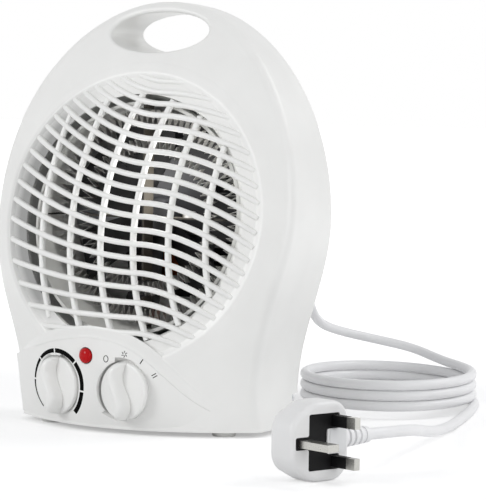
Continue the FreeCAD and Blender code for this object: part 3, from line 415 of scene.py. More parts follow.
# Fold above the panel: reach to both sides of the edge, depths, run in x and the fade of its left end
FOLD_INSIDE, FOLD_OUTSIDE, FOLD_LIFT, FOLD_SINK = 0.8, 6.5, -0.5, 0.9
FOLD_START, FOLD_END, FOLD_STEP, FOLD_POINTS, FOLD_FADE, FOLD_FADE_SINK = -78, 78, 2, 12, 18.0, 2.4
TURNS = [2 * math.pi * i / RING_POINTS for i in range(RING_POINTS)]


def from_axis(x, z):
    """How far x, z lies from the middle of the grille's mouth."""
    return math.hypot(x - MOUTH_X, z - AXIS_HEIGHT)


def on_circle(radius, angle, x=0.0):
    """The x, z point at an angle on a circle about the fan's axis, or about a point beside it."""
    return x + radius * math.cos(angle), AXIS_HEIGHT + radius * math.sin(angle)


def slat_lines(half):
    """The slats' middle lines, one between each two rows of slots."""
    lines = []
    run = int(GRILLE_RADIUS)
    for index in range(-EXTRA_ROWS, ROW_COUNT):
        level = (row_height(index) + row_height(index + 1)) / 2
        line = []
        for x in range(-run, run + 1):
            z = wave(x, level)
            reach = from_axis(x, z)
            if reach < SLOT_END + SLAT_PAST and z > panel_edge(x) + SLAT_OVER_PANEL:
                share = (reach - MOUTH_RADIUS - SLAT_SINK_START) / (SLOT_END - MOUTH_RADIUS - SLAT_PAST)
                line.append((x, skin(x, z) + half + SLAT_SINK * smooth(share), z))
        if len(line) > SLAT_POINTS:
            lines.append(line)
    return lines


def rib_lines(depth):
    """The upright ribs' middle lines, bowed, at a depth behind the skin."""
    radius = (RIB_HALF_CHORD ** 2 + RIB_BOW ** 2) / (2 * RIB_BOW)
    lines = []
    for index in range(RIB_COUNT):
        middle = RIB_OFFSET + RIB_PITCH * (index - (RIB_COUNT - 1) / 2)
        line = []
        for rise in range(-RIB_HALF_RUN, RIB_HALF_RUN + 1, RIB_STEP):
            x, z = middle + radius - math.sqrt(radius ** 2 - rise ** 2), AXIS_HEIGHT + rise
            if from_axis(x, z) < MOUTH_RADIUS + SLAT_PAST and z > panel_edge(x) - EDGE_TUCK:
                line.append((x, skin(x, z) + depth, z))
        lines.append(line)
    return lines


def ring_rows(groove):
    """Rings of points from the mouth's lip up the grooves to an edge that fades into the shell."""
    ring = []
    for share, drop in [(0.0, LIP_DROP)] + [(i / RING_ROWS, 0.0) for i in range(RING_ROWS + 1)]:
        radius = MOUTH_RADIUS + (GRILLE_RADIUS - MOUTH_RADIUS) * share
        ramp = (1 - min(1.0, (radius - MOUTH_RADIUS) / (SLOT_END - MOUTH_RADIUS))) ** GROOVE_POWER
        row = []
        for a in TURNS:
            x, z = on_circle(radius, a, MOUTH_X * (1 - share))
            z = max(z, panel_edge(x) - EDGE_TUCK)
            row.append((x, skin(x, z) + groove * ramp + drop, z))
        ring.append(row)
    for past, lift in RING_EDGE:
        row = []
        for a in TURNS:
            x, z = on_circle(GRILLE_RADIUS + past, a)
            low = panel_edge(x) - EDGE_TUCK
            row.append(on_shell(x, z, lift) if z > low else (x, skin(x, low) + RING_WALL / 2, low))
        ring.append(row)
    return ring


def mouth_rows(lip):
    """Rings of points from the grille's lip back to the duct's mouth."""
    rows = []
    for i in range(RING_ROWS + 1):
        row = []
        for front, a in zip(lip, TURNS):
            x, z = on_circle(DUCT_RADIUS, a)
            start = Vector(front) - Vector((0, LIP_OVERLAP, 0))
            row.append(start.lerp(Vector((x, DUCT_MOUTH_Y, z)), i / RING_ROWS))
        rows.append(row)
    return rows


def fold_rows():
    """Lines of points across the soft fold that leads from the skin up to the panel."""
    rows = []
    for step in range(FOLD_START, FOLD_END, FOLD_STEP):
        fade = FOLD_FADE_SINK * (1 - smooth((step - FOLD_START) / FOLD_FADE))
        along = Vector((2.0, edge_soft(step + 1.0) - edge_soft(step - 1.0))).normalized()
        off = Vector((-along.y, along.x))
        root = Vector((step, edge_soft(step))) - off * FOLD_INSIDE
        high = panel_surface(root.x, root.y) - FOLD_LIFT
        row = []
        for i in range(FOLD_POINTS + 1):
            at = root + off * (FOLD_INSIDE + FOLD_OUTSIDE) * i / FOLD_POINTS
            fall = (skin(at.x, at.y) + FOLD_SINK - high) * smooth(i / FOLD_POINTS)
            row.append((at.x, high + fall + fade, at.y))
        rows.append(row)
    return rows


class HEATER_OT_grille(bpy.types.Operator):
    """Build the domed grille's slats, ribs and grooves, the panel's fold and the duct's wall"""
    bl_idname = "heater.grille"
    bl_label = "Front grille"

    def execute(self, context):
        settings = context.scene.heater_grille
        white = bpy.data.materials["White moulded ABS"]
        painted_shade_finish = bpy.data.materials["White moulded ABS with painted groove shade"]
        tree = sweep_group("Grille bars")
        half = settings.slat_depth / MM / 2
        slats = run_group(tree, lines_mesh("slat_lines", slat_lines(half)), {
            "Depth": settings.slat_depth, "Thickness": settings.slat_thickness,
            "Round": settings.slat_thickness * SLAT_ROUND, "Finish": white})
        piece("grille_slats", joined("grille_slats", slats), "casing", "casing_white", "front_grille")
        ring = ring_rows(settings.groove / MM)
        back = [[(x, y + RING_WALL, z) for x, y, z in row] for row in (ring[-1], ring[0])]
        # The groove ring takes the same painted shade as the shell around it
        hollow = joined("grille_grooves", grid_mesh("ring", ring + back + ring[:1], painted_shade_finish, around=True))
        piece("grille_grooves", hollow, "casing", "casing_white")
        fold = piece("panel_fold", grid_mesh("panel_fold", fold_rows(), white), "casing", "casing_white")
        # The duct wall's white plastic is painted grey as painted shade, so the mouth reads as depth behind
        # the slats
        wall = moulded("White duct plastic darkened as painted shade", "#C4C5C3", "#CCCDCB", 0.55, 0.9, 0.3)
        funnel = grid_mesh("duct_mouth", mouth_rows(ring[0]), wall, around=True)
        for thin in (fold, piece("duct_mouth", funnel, "casing", "duct_grey")):
            thick = thin.modifiers.new("wall", "SOLIDIFY")
            thick.thickness, thick.offset = SHEET_WALL * MM, 0.0
        ribs = rib_lines(settings.rib_setback / MM + half)
        bars = run_group(tree, lines_mesh("rib_lines", ribs), {
            "Depth": settings.slat_depth, "Thickness": settings.rib_width,
            "Round": settings.rib_width * RIB_ROUND, "Finish": white})
        piece("grille_uprights", joined("grille_uprights", bars), "casing", "casing_white", "grille_ribs")
        return {"FINISHED"}


# Each heating ribbon: its node, its inner and outer radius and its number of folds
ELEMENTS = (("element_outer", (58.0, 67.5), 96), ("element_inner", (41.0, 49.5), 70))
ELEMENT_Y, RIBBON_DEPTH, RIBBON_THICKNESS, RIBBON_ROUND = -3.5, 5.0, 0.45, 0.15
INLET_PITCH, INLET_REACH, INLET_ROWS_EACH_WAY = 8.6, 58.0, 6
BAFFLE_Y, BAFFLE_HEIGHT, BAFFLE_DEPTH, BAFFLE_ROUND, BAFFLE_RISE, BAFFLE_POINTS = 53.4, 7.0, 1.2, 0.4, 1.0, 10


def element_mesh(node, radii, teeth, tree, made):
    """A resistance ribbon folded to and fro between two radii, all the way round."""
    line = []
    for i in range(2 * teeth):
        x, z = on_circle(radii[i % 2], math.pi * i / teeth)
        line.append((x, ELEMENT_Y, z))
    line.append(line[0])
    return joined(node, run_group(tree, lines_mesh(node, [line]), {
        "Depth": RIBBON_DEPTH * MM, "Thickness": RIBBON_THICKNESS * MM, "Round": RIBBON_ROUND * MM,
        "Finish": made}))


def baffle_lines():
    """Level lines behind the inlet's slots, each as long as its slot, for black strips of painted shade."""
    lines = []
    for k in range(-INLET_ROWS_EACH_WAY, INLET_ROWS_EACH_WAY + 1):
        rise = INLET_PITCH * k
        reach = math.sqrt(INLET_REACH ** 2 - rise ** 2)
        z = AXIS_HEIGHT + rise + BAFFLE_RISE
        steps = range(-BAFFLE_POINTS, BAFFLE_POINTS + 1)
        lines.append([(reach * i / BAFFLE_POINTS, BAFFLE_Y, z) for i in steps])
    return lines


class HEATER_OT_inside(bpy.types.Operator):
    """Finish the duct, element, fan, motor and wiring blocks"""
    bl_idname = "heater.inside"
    bl_label = "Inside"

    def execute(self, context):
        # Heat-proof polyester, matt and a shade greyer than the casing
        duct = moulded("Light grey polyester", "#DADAD7", "#E2E2DF", 0.5, 0.8, 0.3)
        dress(duct, "fan_duct", "cord_clamp")
        # Mica sheet, mottled, painted darker than its own silvery brown as painted shade, so the element
        # stands out before it
        mica = moulded("Pressed mica darkened as painted shade", "#2B2823", "#3A362F", 0.6, 1.2, 0.4)
        dress(mica, "mica_board_level", "mica_board_upright")
        # Bare bright ribbon that catches the light between the slats
        alloy = metal("Resistance alloy ribbon", "#E2E0DC", 0.38, (0.4, 4.0, 0.4), 0.3)
        dress(alloy, "thermal_cutout")
        ribbons = sweep_group("Element ribbons")
        for node, radii, teeth in ELEMENTS:
            ribbon = element_mesh(node, radii, teeth, ribbons, alloy)
            piece(node + "_ribbon", ribbon, "casing", "element_alloy", node)
        # Cream glaze with a hard gloss on the fuse and the neon lamp
        ceramic = moulded("Glazed ceramic", "#DAD3C2", "#E4DDCD", 0.2, 1.0, 0.1)
        dress(ceramic, "thermal_fuse", "neon_lamp")
        # Near-black satin nylon gives the grille its dark ground
        black = moulded("Black nylon", "#1B1B1C", "#232324", 0.5, 0.8, 0.3)
        dress(black, "fan_impeller", "thermostat_body", "switch_body", "lamp_holder", "terminal_block")
        # Painted shade: black strips behind the inlet's slots keep the backdrop from showing through
        painted_shade_baffles = run_group(ribbons, lines_mesh("painted_shade_baffles", baffle_lines()), {
            "Depth": BAFFLE_DEPTH * MM, "Thickness": BAFFLE_HEIGHT * MM, "Round": BAFFLE_ROUND * MM,
            "Finish": black})
        piece("inlet_baffles", joined("inlet_baffles", painted_shade_baffles), "casing", "control_black")
        # Grey steel with the lines of its stacked sheets
        steel = metal("Laminated steel", "#8C8E90", 0.42, (6.0, 0.5, 6.0), 0.5)
        dress(steel, "motor_stator", "motor_rotor", "motor_bracket_front", "motor_bracket_rear",
              "motor_shaft", "thermostat_shaft", "switch_shaft")
        # Dull grainy bronze on the bearings
        bronze = metal("Sintered bronze", "#A47C4C", 0.5, (0.4, 0.4, 0.4), 0.5)
        dress(bronze, "bearing_front", "bearing_rear")
        # Red-brown wire under clear enamel, ridged turn by turn
        copper = metal("Enamelled copper", "#A3562E", 0.35, (6.0, 0.5, 0.5), 0.8)
        dress(copper, "motor_coil")
        return {"FINISHED"}


KNOB_RADIUS, KNOB_FACE, KNOB_BACK, KNOB_ROUND, KNOB_POINTS, KNOB_ROUND_ROWS = 18.0, -1.0, 2.6, 1.3, 96, 6
# The grip: its size, its sway to both sides, its root in the disc, its share of the knob's width
GRIP_HEIGHT, GRIP_HALF_WIDTH, GRIP_SWAY, GRIP_ROOT, GRIP_SPAN = 9.5, 3.8, -3.2, 0.6, 0.985
GRIP_ROWS, GRIP_POINTS, GRIP_END_POWER, GRIP_NARROW, GRIP_NARROW_POWER = 40, 24, 7, 0.25, 6
GRIP_SIDE_POWER, GRIP_TOP_POWER = 0.75, 0.8
LAMP_SEAT, LAMP_ROOT, LAMP_POINTS, LAMP_ROWS = -0.3, 1.5, 48, 12


def on_control(x, point, height=KNOB_HEIGHT):
    """A point built about -Y at the panel's face, turned and set on the panel at x."""
    degrees = THERMOSTAT_TURN if x == THERMOSTAT_X else SWITCH_TURN
    turned = Matrix.Rotation(math.radians(-degrees), 3, "Z") @ Vector(point)
    return turned + Vector((x, panel_surface(x, height), height))


def turned_mesh(name, profile, count, x, height, made):
    """A mesh turned about a control's axis from radius and depth pairs."""
    rows = []
    for radius, y in profile:
        turns = [2 * math.pi * i / count for i in range(count)]
        ring = [(radius * math.cos(a), y, radius * math.sin(a)) for a in turns]
        rows.append([on_control(x, point, height) for point in ring])
    return grid_mesh(name, rows, made, around=True)


def knob_mesh(name, x, made):
    """A round knob with a soft S-shaped grip across it."""
    profile = [(POLE, KNOB_FACE)] + [(KNOB_RADIUS * share, KNOB_FACE) for share in (0.4, 0.8)]
    for i in range(KNOB_ROUND_ROWS + 1):
        a = math.pi / 2 * i / KNOB_ROUND_ROWS
        profile.append((KNOB_RADIUS - KNOB_ROUND + KNOB_ROUND * math.sin(a),
                        KNOB_FACE + KNOB_ROUND * (1 - math.cos(a))))
    profile += [(KNOB_RADIUS, KNOB_BACK), (POLE, KNOB_BACK)]
    disc = turned_mesh(name, profile, KNOB_POINTS, x, KNOB_HEIGHT, made)
    rows = []
    for i in range(GRIP_ROWS + 1):
        v = KNOB_RADIUS * GRIP_SPAN * (2 * i / GRIP_ROWS - 1)
        share = v / KNOB_RADIUS
        high = GRIP_HEIGHT * (1 - abs(share) ** GRIP_END_POWER) ** 0.5
        half = GRIP_HALF_WIDTH * (1 - GRIP_NARROW * abs(share) ** GRIP_NARROW_POWER)
        middle = GRIP_SWAY * math.sin(math.pi * share)
        row = []
        for k in range(GRIP_POINTS + 1):
            c, q = math.cos(math.pi * k / GRIP_POINTS), math.sin(math.pi * k / GRIP_POINTS)
            side = middle + half * math.copysign(abs(c) ** GRIP_SIDE_POWER, c)
            depth = KNOB_FACE + GRIP_ROOT - (high + GRIP_ROOT) * q ** GRIP_TOP_POWER
            row.append(on_control(x, (side, depth, v)))
        rows.append(row)
    return joined(name, disc, grid_mesh(name, rows, made, around=True))


class HEATER_OT_controls(bpy.types.Operator):
    """Finish the knobs and the lamp"""
    bl_idname = "heater.controls"
    bl_label = "Controls"

    def execute(self, context):
        # Polished mould, so the grips take a brighter edge than the casing
        gloss = moulded("White glossy ABS", "#EEEEEC", "#F2F2F0", 0.28, 1.0, 0.12, IOR=1.53)
        for body, x in (("thermostat", THERMOSTAT_X), ("switch", SWITCH_X)):
            piece(body + "_grip", knob_mesh(body + "_grip", x, gloss), body, "control_white", body + "_knob")
        # Deep red and mirror smooth, with one small highlight on the dome
        red = moulded("Red polycarbonate", "#B4060E", "#C00A12", 0.1, 1.0, 0.05, IOR=1.25)
        profile = [(LAMP_RADIUS, LAMP_ROOT)]
        for i in range(LAMP_ROWS + 1):
            a = math.pi / 2 * i / LAMP_ROWS
            profile.append((max(POLE, LAMP_RADIUS * math.cos(a)), LAMP_SEAT - LAMP_DOME * math.sin(a)))
        dome = turned_mesh("lamp_dome", profile, LAMP_POINTS, LAMP_X, LAMP_HEIGHT, red)
        piece("lamp_dome", joined("lamp_dome", dome), "casing", "lamp_red", "lamp_lens")
        return {"FINISHED"}


INK_LIFT, INK_ROOT = 0.07, 0.3
# The dial: its radius, the degrees of its gaps, half a gap, and how its line swells along the way
DIAL_RADIUS, DIAL_GAPS, DIAL_HALF_GAP, DIAL_POINTS = 21.6, (-137, -85, -45, -5, 45, 96, 140), 1.4, 24
DIAL_THIN, DIAL_SWELL, DIAL_SWELL_RATE = 0.85, 2.1, 1.7
# The switch's marks: radius and degrees about the knob, then each mark's own sizes
OFF_PLACE, OFF_INNER, OFF_OUTER, OFF_POINTS = (23.0, -33), (1.35, 1.75), (1.8, 2.2), 32
FAN_PLACE, FAN_RADIUS, FAN_BLADES, FAN_TWIST, FAN_LENGTH, FAN_WIDTH = (22.9, 1), 1.35, 6, 25, 1.5, 0.42
ONE_PLACE, ONE_TURN, ONE_LENGTH, ONE_WIDTH = (22.4, 32), 34, 3.5, 0.6
TWO_PLACE, TWO_TURN, TWO_LENGTH, TWO_WIDTH, TWO_SHIFT = (22.6, 62), 58, 3.1, 0.5, 0.75


def strip(name, made, inner, outer):
    """A printed strip between two lines of x, z points on the panel, rooted in the shell."""
    rows = []
    for low, high in zip(inner, outer):
        rows.append([on_shell(*low, INK_LIFT), on_shell(*high, INK_LIFT),
                     on_shell(*high, -INK_ROOT), on_shell(*low, -INK_ROOT)])
    return grid_mesh(name, rows, made, around=True, smooth_faces=False)


def around_knob(x, radius, degrees):
    """The x, z point at a radius about the knob at x, in degrees clockwise from the top."""
    a = math.radians(degrees)
    return x + radius * math.sin(a), KNOB_HEIGHT + radius * math.cos(a)


def bar(name, made, centre, degrees, length, width, shift=0.0):
    """A short printed line that points away from the knob."""
    along = Vector((math.sin(math.radians(degrees)), math.cos(math.radians(degrees))))
    across = Vector((along.y, -along.x))
    middle = Vector(centre) + across * shift
    ends = [middle - along * length / 2, middle + along * length / 2]
    return strip(name, made, [e - across * width / 2 for e in ends], [e + across * width / 2 for e in ends])


class HEATER_OT_marks(bpy.types.Operator):
    """Print the dial and the switch positions"""
    bl_idname = "heater.marks"
    bl_label = "Printed marks"

    def execute(self, context):
        # Pad-printed black ink, a touch uneven and less glossy than the plastic
        black = moulded("Black pad-print ink", "#030303", "#060606", 0.6, 0.8, 0.2, IOR=1.12)
        dial = []
        for start, end in zip(DIAL_GAPS, DIAL_GAPS[1:]):
            inner, outer = [], []
            for i in range(DIAL_POINTS + 1):
                degrees = start + DIAL_HALF_GAP + (end - start - 2 * DIAL_HALF_GAP) * i / DIAL_POINTS
                share = (degrees - DIAL_GAPS[0]) / (DIAL_GAPS[-1] - DIAL_GAPS[0])
                width = DIAL_THIN + DIAL_SWELL * smooth(share * DIAL_SWELL_RATE)
                inner.append(around_knob(THERMOSTAT_X, DIAL_RADIUS - width / 2, degrees))
                outer.append(around_knob(THERMOSTAT_X, DIAL_RADIUS + width / 2, degrees))
            dial.append(strip("dial", black, inner, outer))
        piece("dial_marks", joined("dial_marks", *dial), "casing", "control_black")
        x, z = around_knob(SWITCH_X, *OFF_PLACE)
        turns = [2 * math.pi * i / OFF_POINTS for i in range(OFF_POINTS + 1)]
        ovals = []
        for w, h in (OFF_INNER, OFF_OUTER):
            ovals.append([(x + w * math.sin(a), z + h * math.cos(a)) for a in turns])
        marks = [strip("off", black, *ovals)]
        x, z = around_knob(SWITCH_X, *FAN_PLACE)
        for k in range(FAN_BLADES):
            a = 2 * math.pi * k / FAN_BLADES
            spot = (x + FAN_RADIUS * math.sin(a), z + FAN_RADIUS * math.cos(a))
            marks.append(bar("fan", black, spot, math.degrees(a) + FAN_TWIST, FAN_LENGTH, FAN_WIDTH))
        spot = around_knob(SWITCH_X, *ONE_PLACE)
        marks.append(bar("one", black, spot, ONE_TURN, ONE_LENGTH, ONE_WIDTH))
        spot = around_knob(SWITCH_X, *TWO_PLACE)
        for shift in (-TWO_SHIFT, TWO_SHIFT):
            marks.append(bar("two", black, spot, TWO_TURN, TWO_LENGTH, TWO_WIDTH, shift))
        piece("switch_marks", joined("switch_marks", *marks), "casing", "control_black")
        return {"FINISHED"}


# The lead's route in millimetres, by the same points as the part's; the coil's turns lie closer here
GLAND_END = (46.0, 94.5, 78.0)
LEAD_ROUTE = ((45, 128, 76.5), (37, 158, 70), (25, 188, 60), (18, 217, 50), (22, 245, 43), (39, 266, 37),
              (65, 273, 32))
TAIL_ROUTE = ((141, 205, 3.7), (151, 174, 3.6), (160, 140, 3.6), (169, 102, 3.8), (178, 62, 4.8),
              (187, 22, 8), (195, -20, 14))
COIL_CENTRE, COIL_TURN, COIL_HALF_WIDTH, COIL_HALF_DEPTH = (82.0, 190.0), 30.0, 57.0, 80.0
COIL_TURNS, COIL_PITCH, COIL_REST, COIL_START = 3, 6.86, 0.5, 20.0
CORD_RADIUS, RUN_IN, RUN_OUT, RUN_PLUG = 3.4, 27.2, 13.6, 34.0
PLUG_PLACE, PLUG_TURN, PLUG_HALF_LENGTH, PLUG_HALF_WIDTH = (193.0, -150.0), -22.0, 21.0, 22.0
PLUG_THICKNESS, RELIEF_LENGTH = 19.0, 22.0
POINTS_PER_TURN, LEAD_ORDER, LEAD_RESOLUTION, LEAD_BEVEL = 16, 3, 8, 6


def coil_frame(travel, grow):
    """A point on the coil and the way the lead runs there; travel counts turns from the top."""
    angle = math.radians(COIL_START - 360 * travel)
    turn = math.radians(COIL_TURN)
    right, away = Vector((math.cos(turn), math.sin(turn), 0)), Vector((-math.sin(turn), math.cos(turn), 0))
    level = CORD_RADIUS + COIL_REST + COIL_PITCH * (COIL_TURNS - travel)
    point = Vector((*COIL_CENTRE, level)) + (right * COIL_HALF_WIDTH * math.cos(angle)
                                             + away * COIL_HALF_DEPTH * math.sin(angle)) * grow
    way = right * COIL_HALF_WIDTH * math.sin(angle) - away * COIL_HALF_DEPTH * math.cos(angle)
    return point, (way * 2 * math.pi + Vector((0, 0, -COIL_PITCH))).normalized()


def plug_point(x, y, z):
    """A point of the plug, turned and set where the plug lies."""
    turn = Matrix.Rotation(math.radians(PLUG_TURN), 3, "Z")
    return turn @ Vector((x, y, z)) + Vector((*PLUG_PLACE, PLUG_HALF_WIDTH))


def cord_points():
    """The lead's control points in metres, from the gland to the plug."""
    start, start_way = coil_frame(0, 1)
    end, end_way = coil_frame(COIL_TURNS, 1)
    coil_in, coil_out = start - start_way * 2 * CORD_RADIUS, end + end_way * 2 * CORD_RADIUS
    relief = plug_point(-PLUG_THICKNESS / 2, PLUG_HALF_LENGTH + RELIEF_LENGTH, 0)
    relief_way = Matrix.Rotation(math.radians(PLUG_TURN), 3, "Z") @ Vector((0, 1, 0))
    grow = 1 / math.cos(math.pi / POINTS_PER_TURN)
    points = [Vector(GLAND_END)] + [Vector(p) for p in LEAD_ROUTE] + [coil_in - start_way * RUN_IN]
    steps = POINTS_PER_TURN * COIL_TURNS
    points += [coil_frame(COIL_TURNS * (i + 0.5) / steps, grow)[0] for i in range(steps)]
    points += [coil_out + end_way * RUN_OUT] + [Vector(p) for p in TAIL_ROUTE]
    points += [relief + relief_way * RUN_PLUG, relief]
    return [p * MM for p in points]


PIN_LENGTH, SLEEVE_SHARE, SLEEVE_WALL, SLEEVE_ROUND, SLEEVE_ROOT = 17.7, 0.64, 0.12, 0.5, 1.0


def sleeve_mesh(node, made):
    """The insulating sleeve about the root of a pin, fitted to the pin's own box."""
    turn = Matrix.Rotation(math.radians(-PLUG_TURN), 3, "Z")
    place = Vector((*PLUG_PLACE, PLUG_HALF_WIDTH))
    points = [turn @ (v.co / MM - place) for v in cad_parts[node].data.vertices]
    low = Vector([min(p[i] for p in points) for i in range(3)])
    high = Vector([max(p[i] for p in points) for i in range(3)])
    low -= Vector((0, SLEEVE_WALL, SLEEVE_WALL))
    high += Vector((0, SLEEVE_WALL, SLEEVE_WALL))
    tip = high.x
    low.x, high.x = tip - PIN_LENGTH - SLEEVE_ROOT, tip - PIN_LENGTH * (1 - SLEEVE_SHARE)
    work = bmesh.new()
    bmesh.ops.create_cube(work, size=1.0)
    for v in work.verts:
        v.co = plug_point(*[low[i] if v.co[i] < 0 else high[i] for i in range(3)]) * MM
    bmesh.ops.bevel(work, geom=work.edges[:], offset=SLEEVE_ROUND * MM, segments=3, affect="EDGES",
                    profile=0.5)
    mesh = bpy.data.meshes.new(node + "_sleeve")
    work.to_mesh(mesh)
    work.free()
    mesh.materials.append(made)
    return mesh


class HEATER_OT_cord(bpy.types.Operator):
    """Lay the mains lead and finish its gland and plug"""
    bl_idname = "heater.cord"
    bl_label = "Lead and plug"

    def execute(self, context):
        settings = context.scene.heater_cord
        # Soft PVC sheath, white and slightly glossy, faintly rippled by the wires inside
        sheath = moulded("White PVC", "#EDEDEE", "#F3F3F4", 0.4, 1.4, 0.3)
        dress(sheath, "cord_gland", "cord_inner", "plug_strain_relief")
        # The plug is a touch glossier and greyer than the lead
        body = moulded("White moulded PVC plug", "#E4E4E4", "#EAEAEA", 0.34, 1.0, 0.2)
        dress(body, "plug_body")
        # Black and off-white thermoset, hard and satin, with bright plated pins
        dress(moulded("Black thermoset", "#0B0B0C", "#121213", 0.5, 0.7, 0.3, IOR=1.25), "plug_insert")
        dress(moulded("Off-white thermoset", "#DEDFE0", "#E6E7E8", 0.45, 0.7, 0.3), "plug_fuse_carrier")
        dress(metal("Nickel-plated brass", "#BFBEB9", 0.28, (4.0, 0.4, 0.4), 0.3),
              "plug_line_pin", "plug_neutral_pin", "plug_earth_pin")
        sleeves = []
        for name in ("plug_line_pin", "plug_neutral_pin"):
            sleeves.append(sleeve_mesh(name, bpy.data.materials["Black thermoset"]))
        sleeve = piece("pin_sleeves", joined("pin_sleeves", *sleeves), "casing", "plug_black")
        points = cord_points()
        curve = bpy.data.curves.new("mains_lead", "CURVE")
        curve.dimensions = "3D"
        spline = curve.splines.new("NURBS")
        spline.points.add(len(points) - 1)
        for made, point in zip(spline.points, points):
            made.co = (*point, 1.0)
        spline.order_u = LEAD_ORDER
        spline.use_endpoint_u = True
        spline.resolution_u = LEAD_RESOLUTION
        curve.bevel_depth = settings.diameter / 2
        curve.bevel_resolution = LEAD_BEVEL
        curve.use_fill_caps = True
        curve.materials.append(sheath)
        lead = bpy.data.objects.new("mains_lead", curve)
        context.collection.objects.link(lead)
        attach(lead, "casing")
        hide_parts("cord_lead", "cord_coil", "cord_tail")
        return {"FINISHED"}


CAMERA_DISTANCE, CAMERA_AZIMUTH, CAMERA_HEIGHT, CAMERA_ROLL, CAMERA_FAR = 1.5, 29.56, 0.1985, 0.82, 50.0
AIM_HEIGHT, AIM_PIXEL, IMAGE, FOCAL_PIXELS = 0.138, (151.0, 208.9), (486, 500), 2372.0
FLOOR_REACH, FLOOR_NEAR, FLOOR_FAR, FLOOR_GLOW, WORLD_SOFT = 40.0, 0.25, 0.9, 0.33, 0.52
# Each lamp: name, place, size and power; all of them face the middle of the casing
LAMPS = (("key", (-1.0, -1.6, 0.85), 0.7, 12.5), ("fill", (1.55, -0.6, 0.5), 0.9, 6.0),
         ("top", (1.2, 1.0, 1.5), 0.9, 9.5))
LAMPS_FACE = (0, 0, 0.12)
INNER_PLACE, INNER_POWER, INNER_SIZE = (0.018, -0.004, 0.15), 0.13, 0.015


def direct_rays(tree):
    """A node that is 1 for what the camera sees straight, in a reflection or through glass."""
    path = add(tree, "ShaderNodeLightPath")
    seen = add(tree, "ShaderNodeMath", {"operation": "MAXIMUM"}, {
        0: (path, "Is Camera Ray"), 1: (path, "Is Glossy Ray")})
    return add(tree, "ShaderNodeMath", {"operation": "MAXIMUM"}, {
        0: (seen, "Value"), 1: (path, "Is Transmission Ray")})


def place_camera(context):
    """The camera, turned so that the casing's middle falls where it does in the picture."""
    angle = math.radians(CAMERA_AZIMUTH)
    place = Vector((math.sin(angle) * CAMERA_DISTANCE, -math.cos(angle) * CAMERA_DISTANCE, CAMERA_HEIGHT))
    camera = bpy.data.objects.new("camera", bpy.data.cameras.new("camera"))
    camera.data.lens = context.scene.heater_stage.lens
    camera.data.clip_end = CAMERA_FAR
    look = (Vector((0, 0, AIM_HEIGHT)) - place).to_track_quat("-Z", "Y").to_matrix()
    pan = -math.atan((IMAGE[0] / 2 - AIM_PIXEL[0]) / FOCAL_PIXELS)
    tilt = -math.atan((IMAGE[1] / 2 - AIM_PIXEL[1]) / FOCAL_PIXELS)
    roll = Matrix.Rotation(math.radians(CAMERA_ROLL), 3, "Z")
    turn = roll @ Matrix.Rotation(pan, 3, "Y") @ Matrix.Rotation(tilt, 3, "X")
    camera.matrix_world = Matrix.Translation(place) @ (look @ turn).to_4x4()
    context.collection.objects.link(camera)
    context.scene.camera = camera


def lay_floor(context):
    """A wide floor that takes soft shadows near the heater and fades to the white backdrop."""
    # Matt white paper, with a glow that rises with the distance so that no horizon shows
    made, tree, out = material("White paper sweep")
    seen = direct_rays(tree)
    place = add(tree, "ShaderNodeTexCoord")
    far = add(tree, "ShaderNodeVectorMath", {"operation": "LENGTH"}, {0: (place, "Object")})
    lift = add(tree, "ShaderNodeMapRange", {"interpolation_type": "SMOOTHSTEP"}, {
        "Value": (far, "Value"), "From Min": FLOOR_NEAR, "From Max": FLOOR_FAR,
        "To Min": FLOOR_GLOW, "To Max": 1.0})
    share = add(tree, "ShaderNodeMath", {"operation": "MULTIPLY"}, {0: (seen, "Value"), 1: (lift, "Result")})
    paper = add(tree, "ShaderNodeBsdfDiffuse", {}, {"Color": linear("#F0F0F0")})
    glow = add(tree, "ShaderNodeEmission", {}, {"Color": linear("#FFFFFF"), "Strength": (share, "Value")})
    both = add(tree, "ShaderNodeAddShader", {}, {0: (paper, "BSDF"), 1: (glow, "Emission")})
    tree.links.new(both.outputs["Shader"], out.inputs["Surface"])
    mesh = bpy.data.meshes.new("floor")
    corners = [(x * FLOOR_REACH, y * FLOOR_REACH, 0) for x, y in ((-1, -1), (1, -1), (1, 1), (-1, 1))]
    mesh.from_pydata(corners, [], [(0, 1, 2, 3)])
    mesh.materials.append(made)
    floor = bpy.data.objects.new("floor", mesh)
    context.collection.objects.link(floor)


def light_world(scene):
    """A white backdrop to look at, and a weaker light from all round."""
    world = bpy.data.worlds.new("studio")
    scene.world = world
    world.use_nodes = True
    tree = world.node_tree
    tree.nodes.clear()
    seen = direct_rays(tree)
    white = add(tree, "ShaderNodeBackground", {}, {"Color": linear("#FFFFFF"), "Strength": 1.0})
    soft = add(tree, "ShaderNodeBackground", {}, {"Color": linear("#F7F8FA"), "Strength": WORLD_SOFT})
    mix = add(tree, "ShaderNodeMixShader", {}, {
        0: (seen, "Value"), 1: (soft, "Background"), 2: (white, "Background")})
    add(tree, "ShaderNodeOutputWorld", {}, {"Surface": (mix, "Shader")})


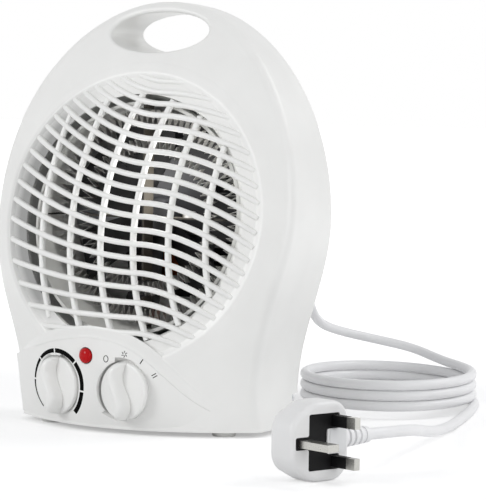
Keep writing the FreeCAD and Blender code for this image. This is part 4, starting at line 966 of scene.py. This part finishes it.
def set_lamps(context):
    """Three soft lamps, and a weak one in the duct for the daylight that comes in by the inlet."""
    for name, spot, size, power in LAMPS:
        lamp = bpy.data.lights.new(name, "AREA")
        lamp.shape, lamp.size, lamp.energy = "SQUARE", size, power
        holder = bpy.data.objects.new(name, lamp)
        holder.location = spot
        holder.rotation_euler = (Vector(LAMPS_FACE) - Vector(spot)).to_track_quat("-Z", "Y").to_euler()
        context.collection.objects.link(holder)
    inner = bpy.data.lights.new("inner", "POINT")
    inner.energy, inner.shadow_soft_size = INNER_POWER, INNER_SIZE
    holder = bpy.data.objects.new("inner", inner)
    holder.location = INNER_PLACE
    holder.visible_camera = holder.visible_glossy = False
    context.collection.objects.link(holder)


class HEATER_OT_stage(bpy.types.Operator):
    """Set the floor, the light and the camera"""
    bl_idname = "heater.stage"
    bl_label = "Stage"

    def execute(self, context):
        context.scene.view_settings.view_transform = "Standard"
        place_camera(context)
        lay_floor(context)
        light_world(context.scene)
        set_lamps(context)
        return {"FINISHED"}


class HEATER_PT_parts(bpy.types.Panel):
    bl_label = "Fan heater"
    bl_idname = "HEATER_PT_parts"
    bl_space_type = "VIEW_3D"
    bl_region_type = "UI"
    bl_category = "Heater"

    def draw(self, context):
        for operator in OPERATORS:
            self.layout.operator(operator.bl_idname)


GROUPS = {"heater_grille": GrilleSettings, "heater_cord": CordSettings, "heater_stage": StageSettings}
OPERATORS = (HEATER_OT_casing, HEATER_OT_grille, HEATER_OT_inside, HEATER_OT_controls, HEATER_OT_marks,
             HEATER_OT_cord, HEATER_OT_stage)


def register():
    for name, group in GROUPS.items():
        bpy.utils.register_class(group)
        setattr(bpy.types.Scene, name, PointerProperty(type=group))
    for made in OPERATORS + (HEATER_PT_parts,):
        bpy.utils.register_class(made)


def unregister():
    for made in reversed(OPERATORS + (HEATER_PT_parts,)):
        bpy.utils.unregister_class(made)
    for name, group in GROUPS.items():
        delattr(bpy.types.Scene, name)
        bpy.utils.unregister_class(group)


def main():
    register()
    for operator in OPERATORS:
        group, name = operator.bl_idname.split(".")
        getattr(getattr(bpy.ops, group), name)()


if __name__ == "__main__":
    main()
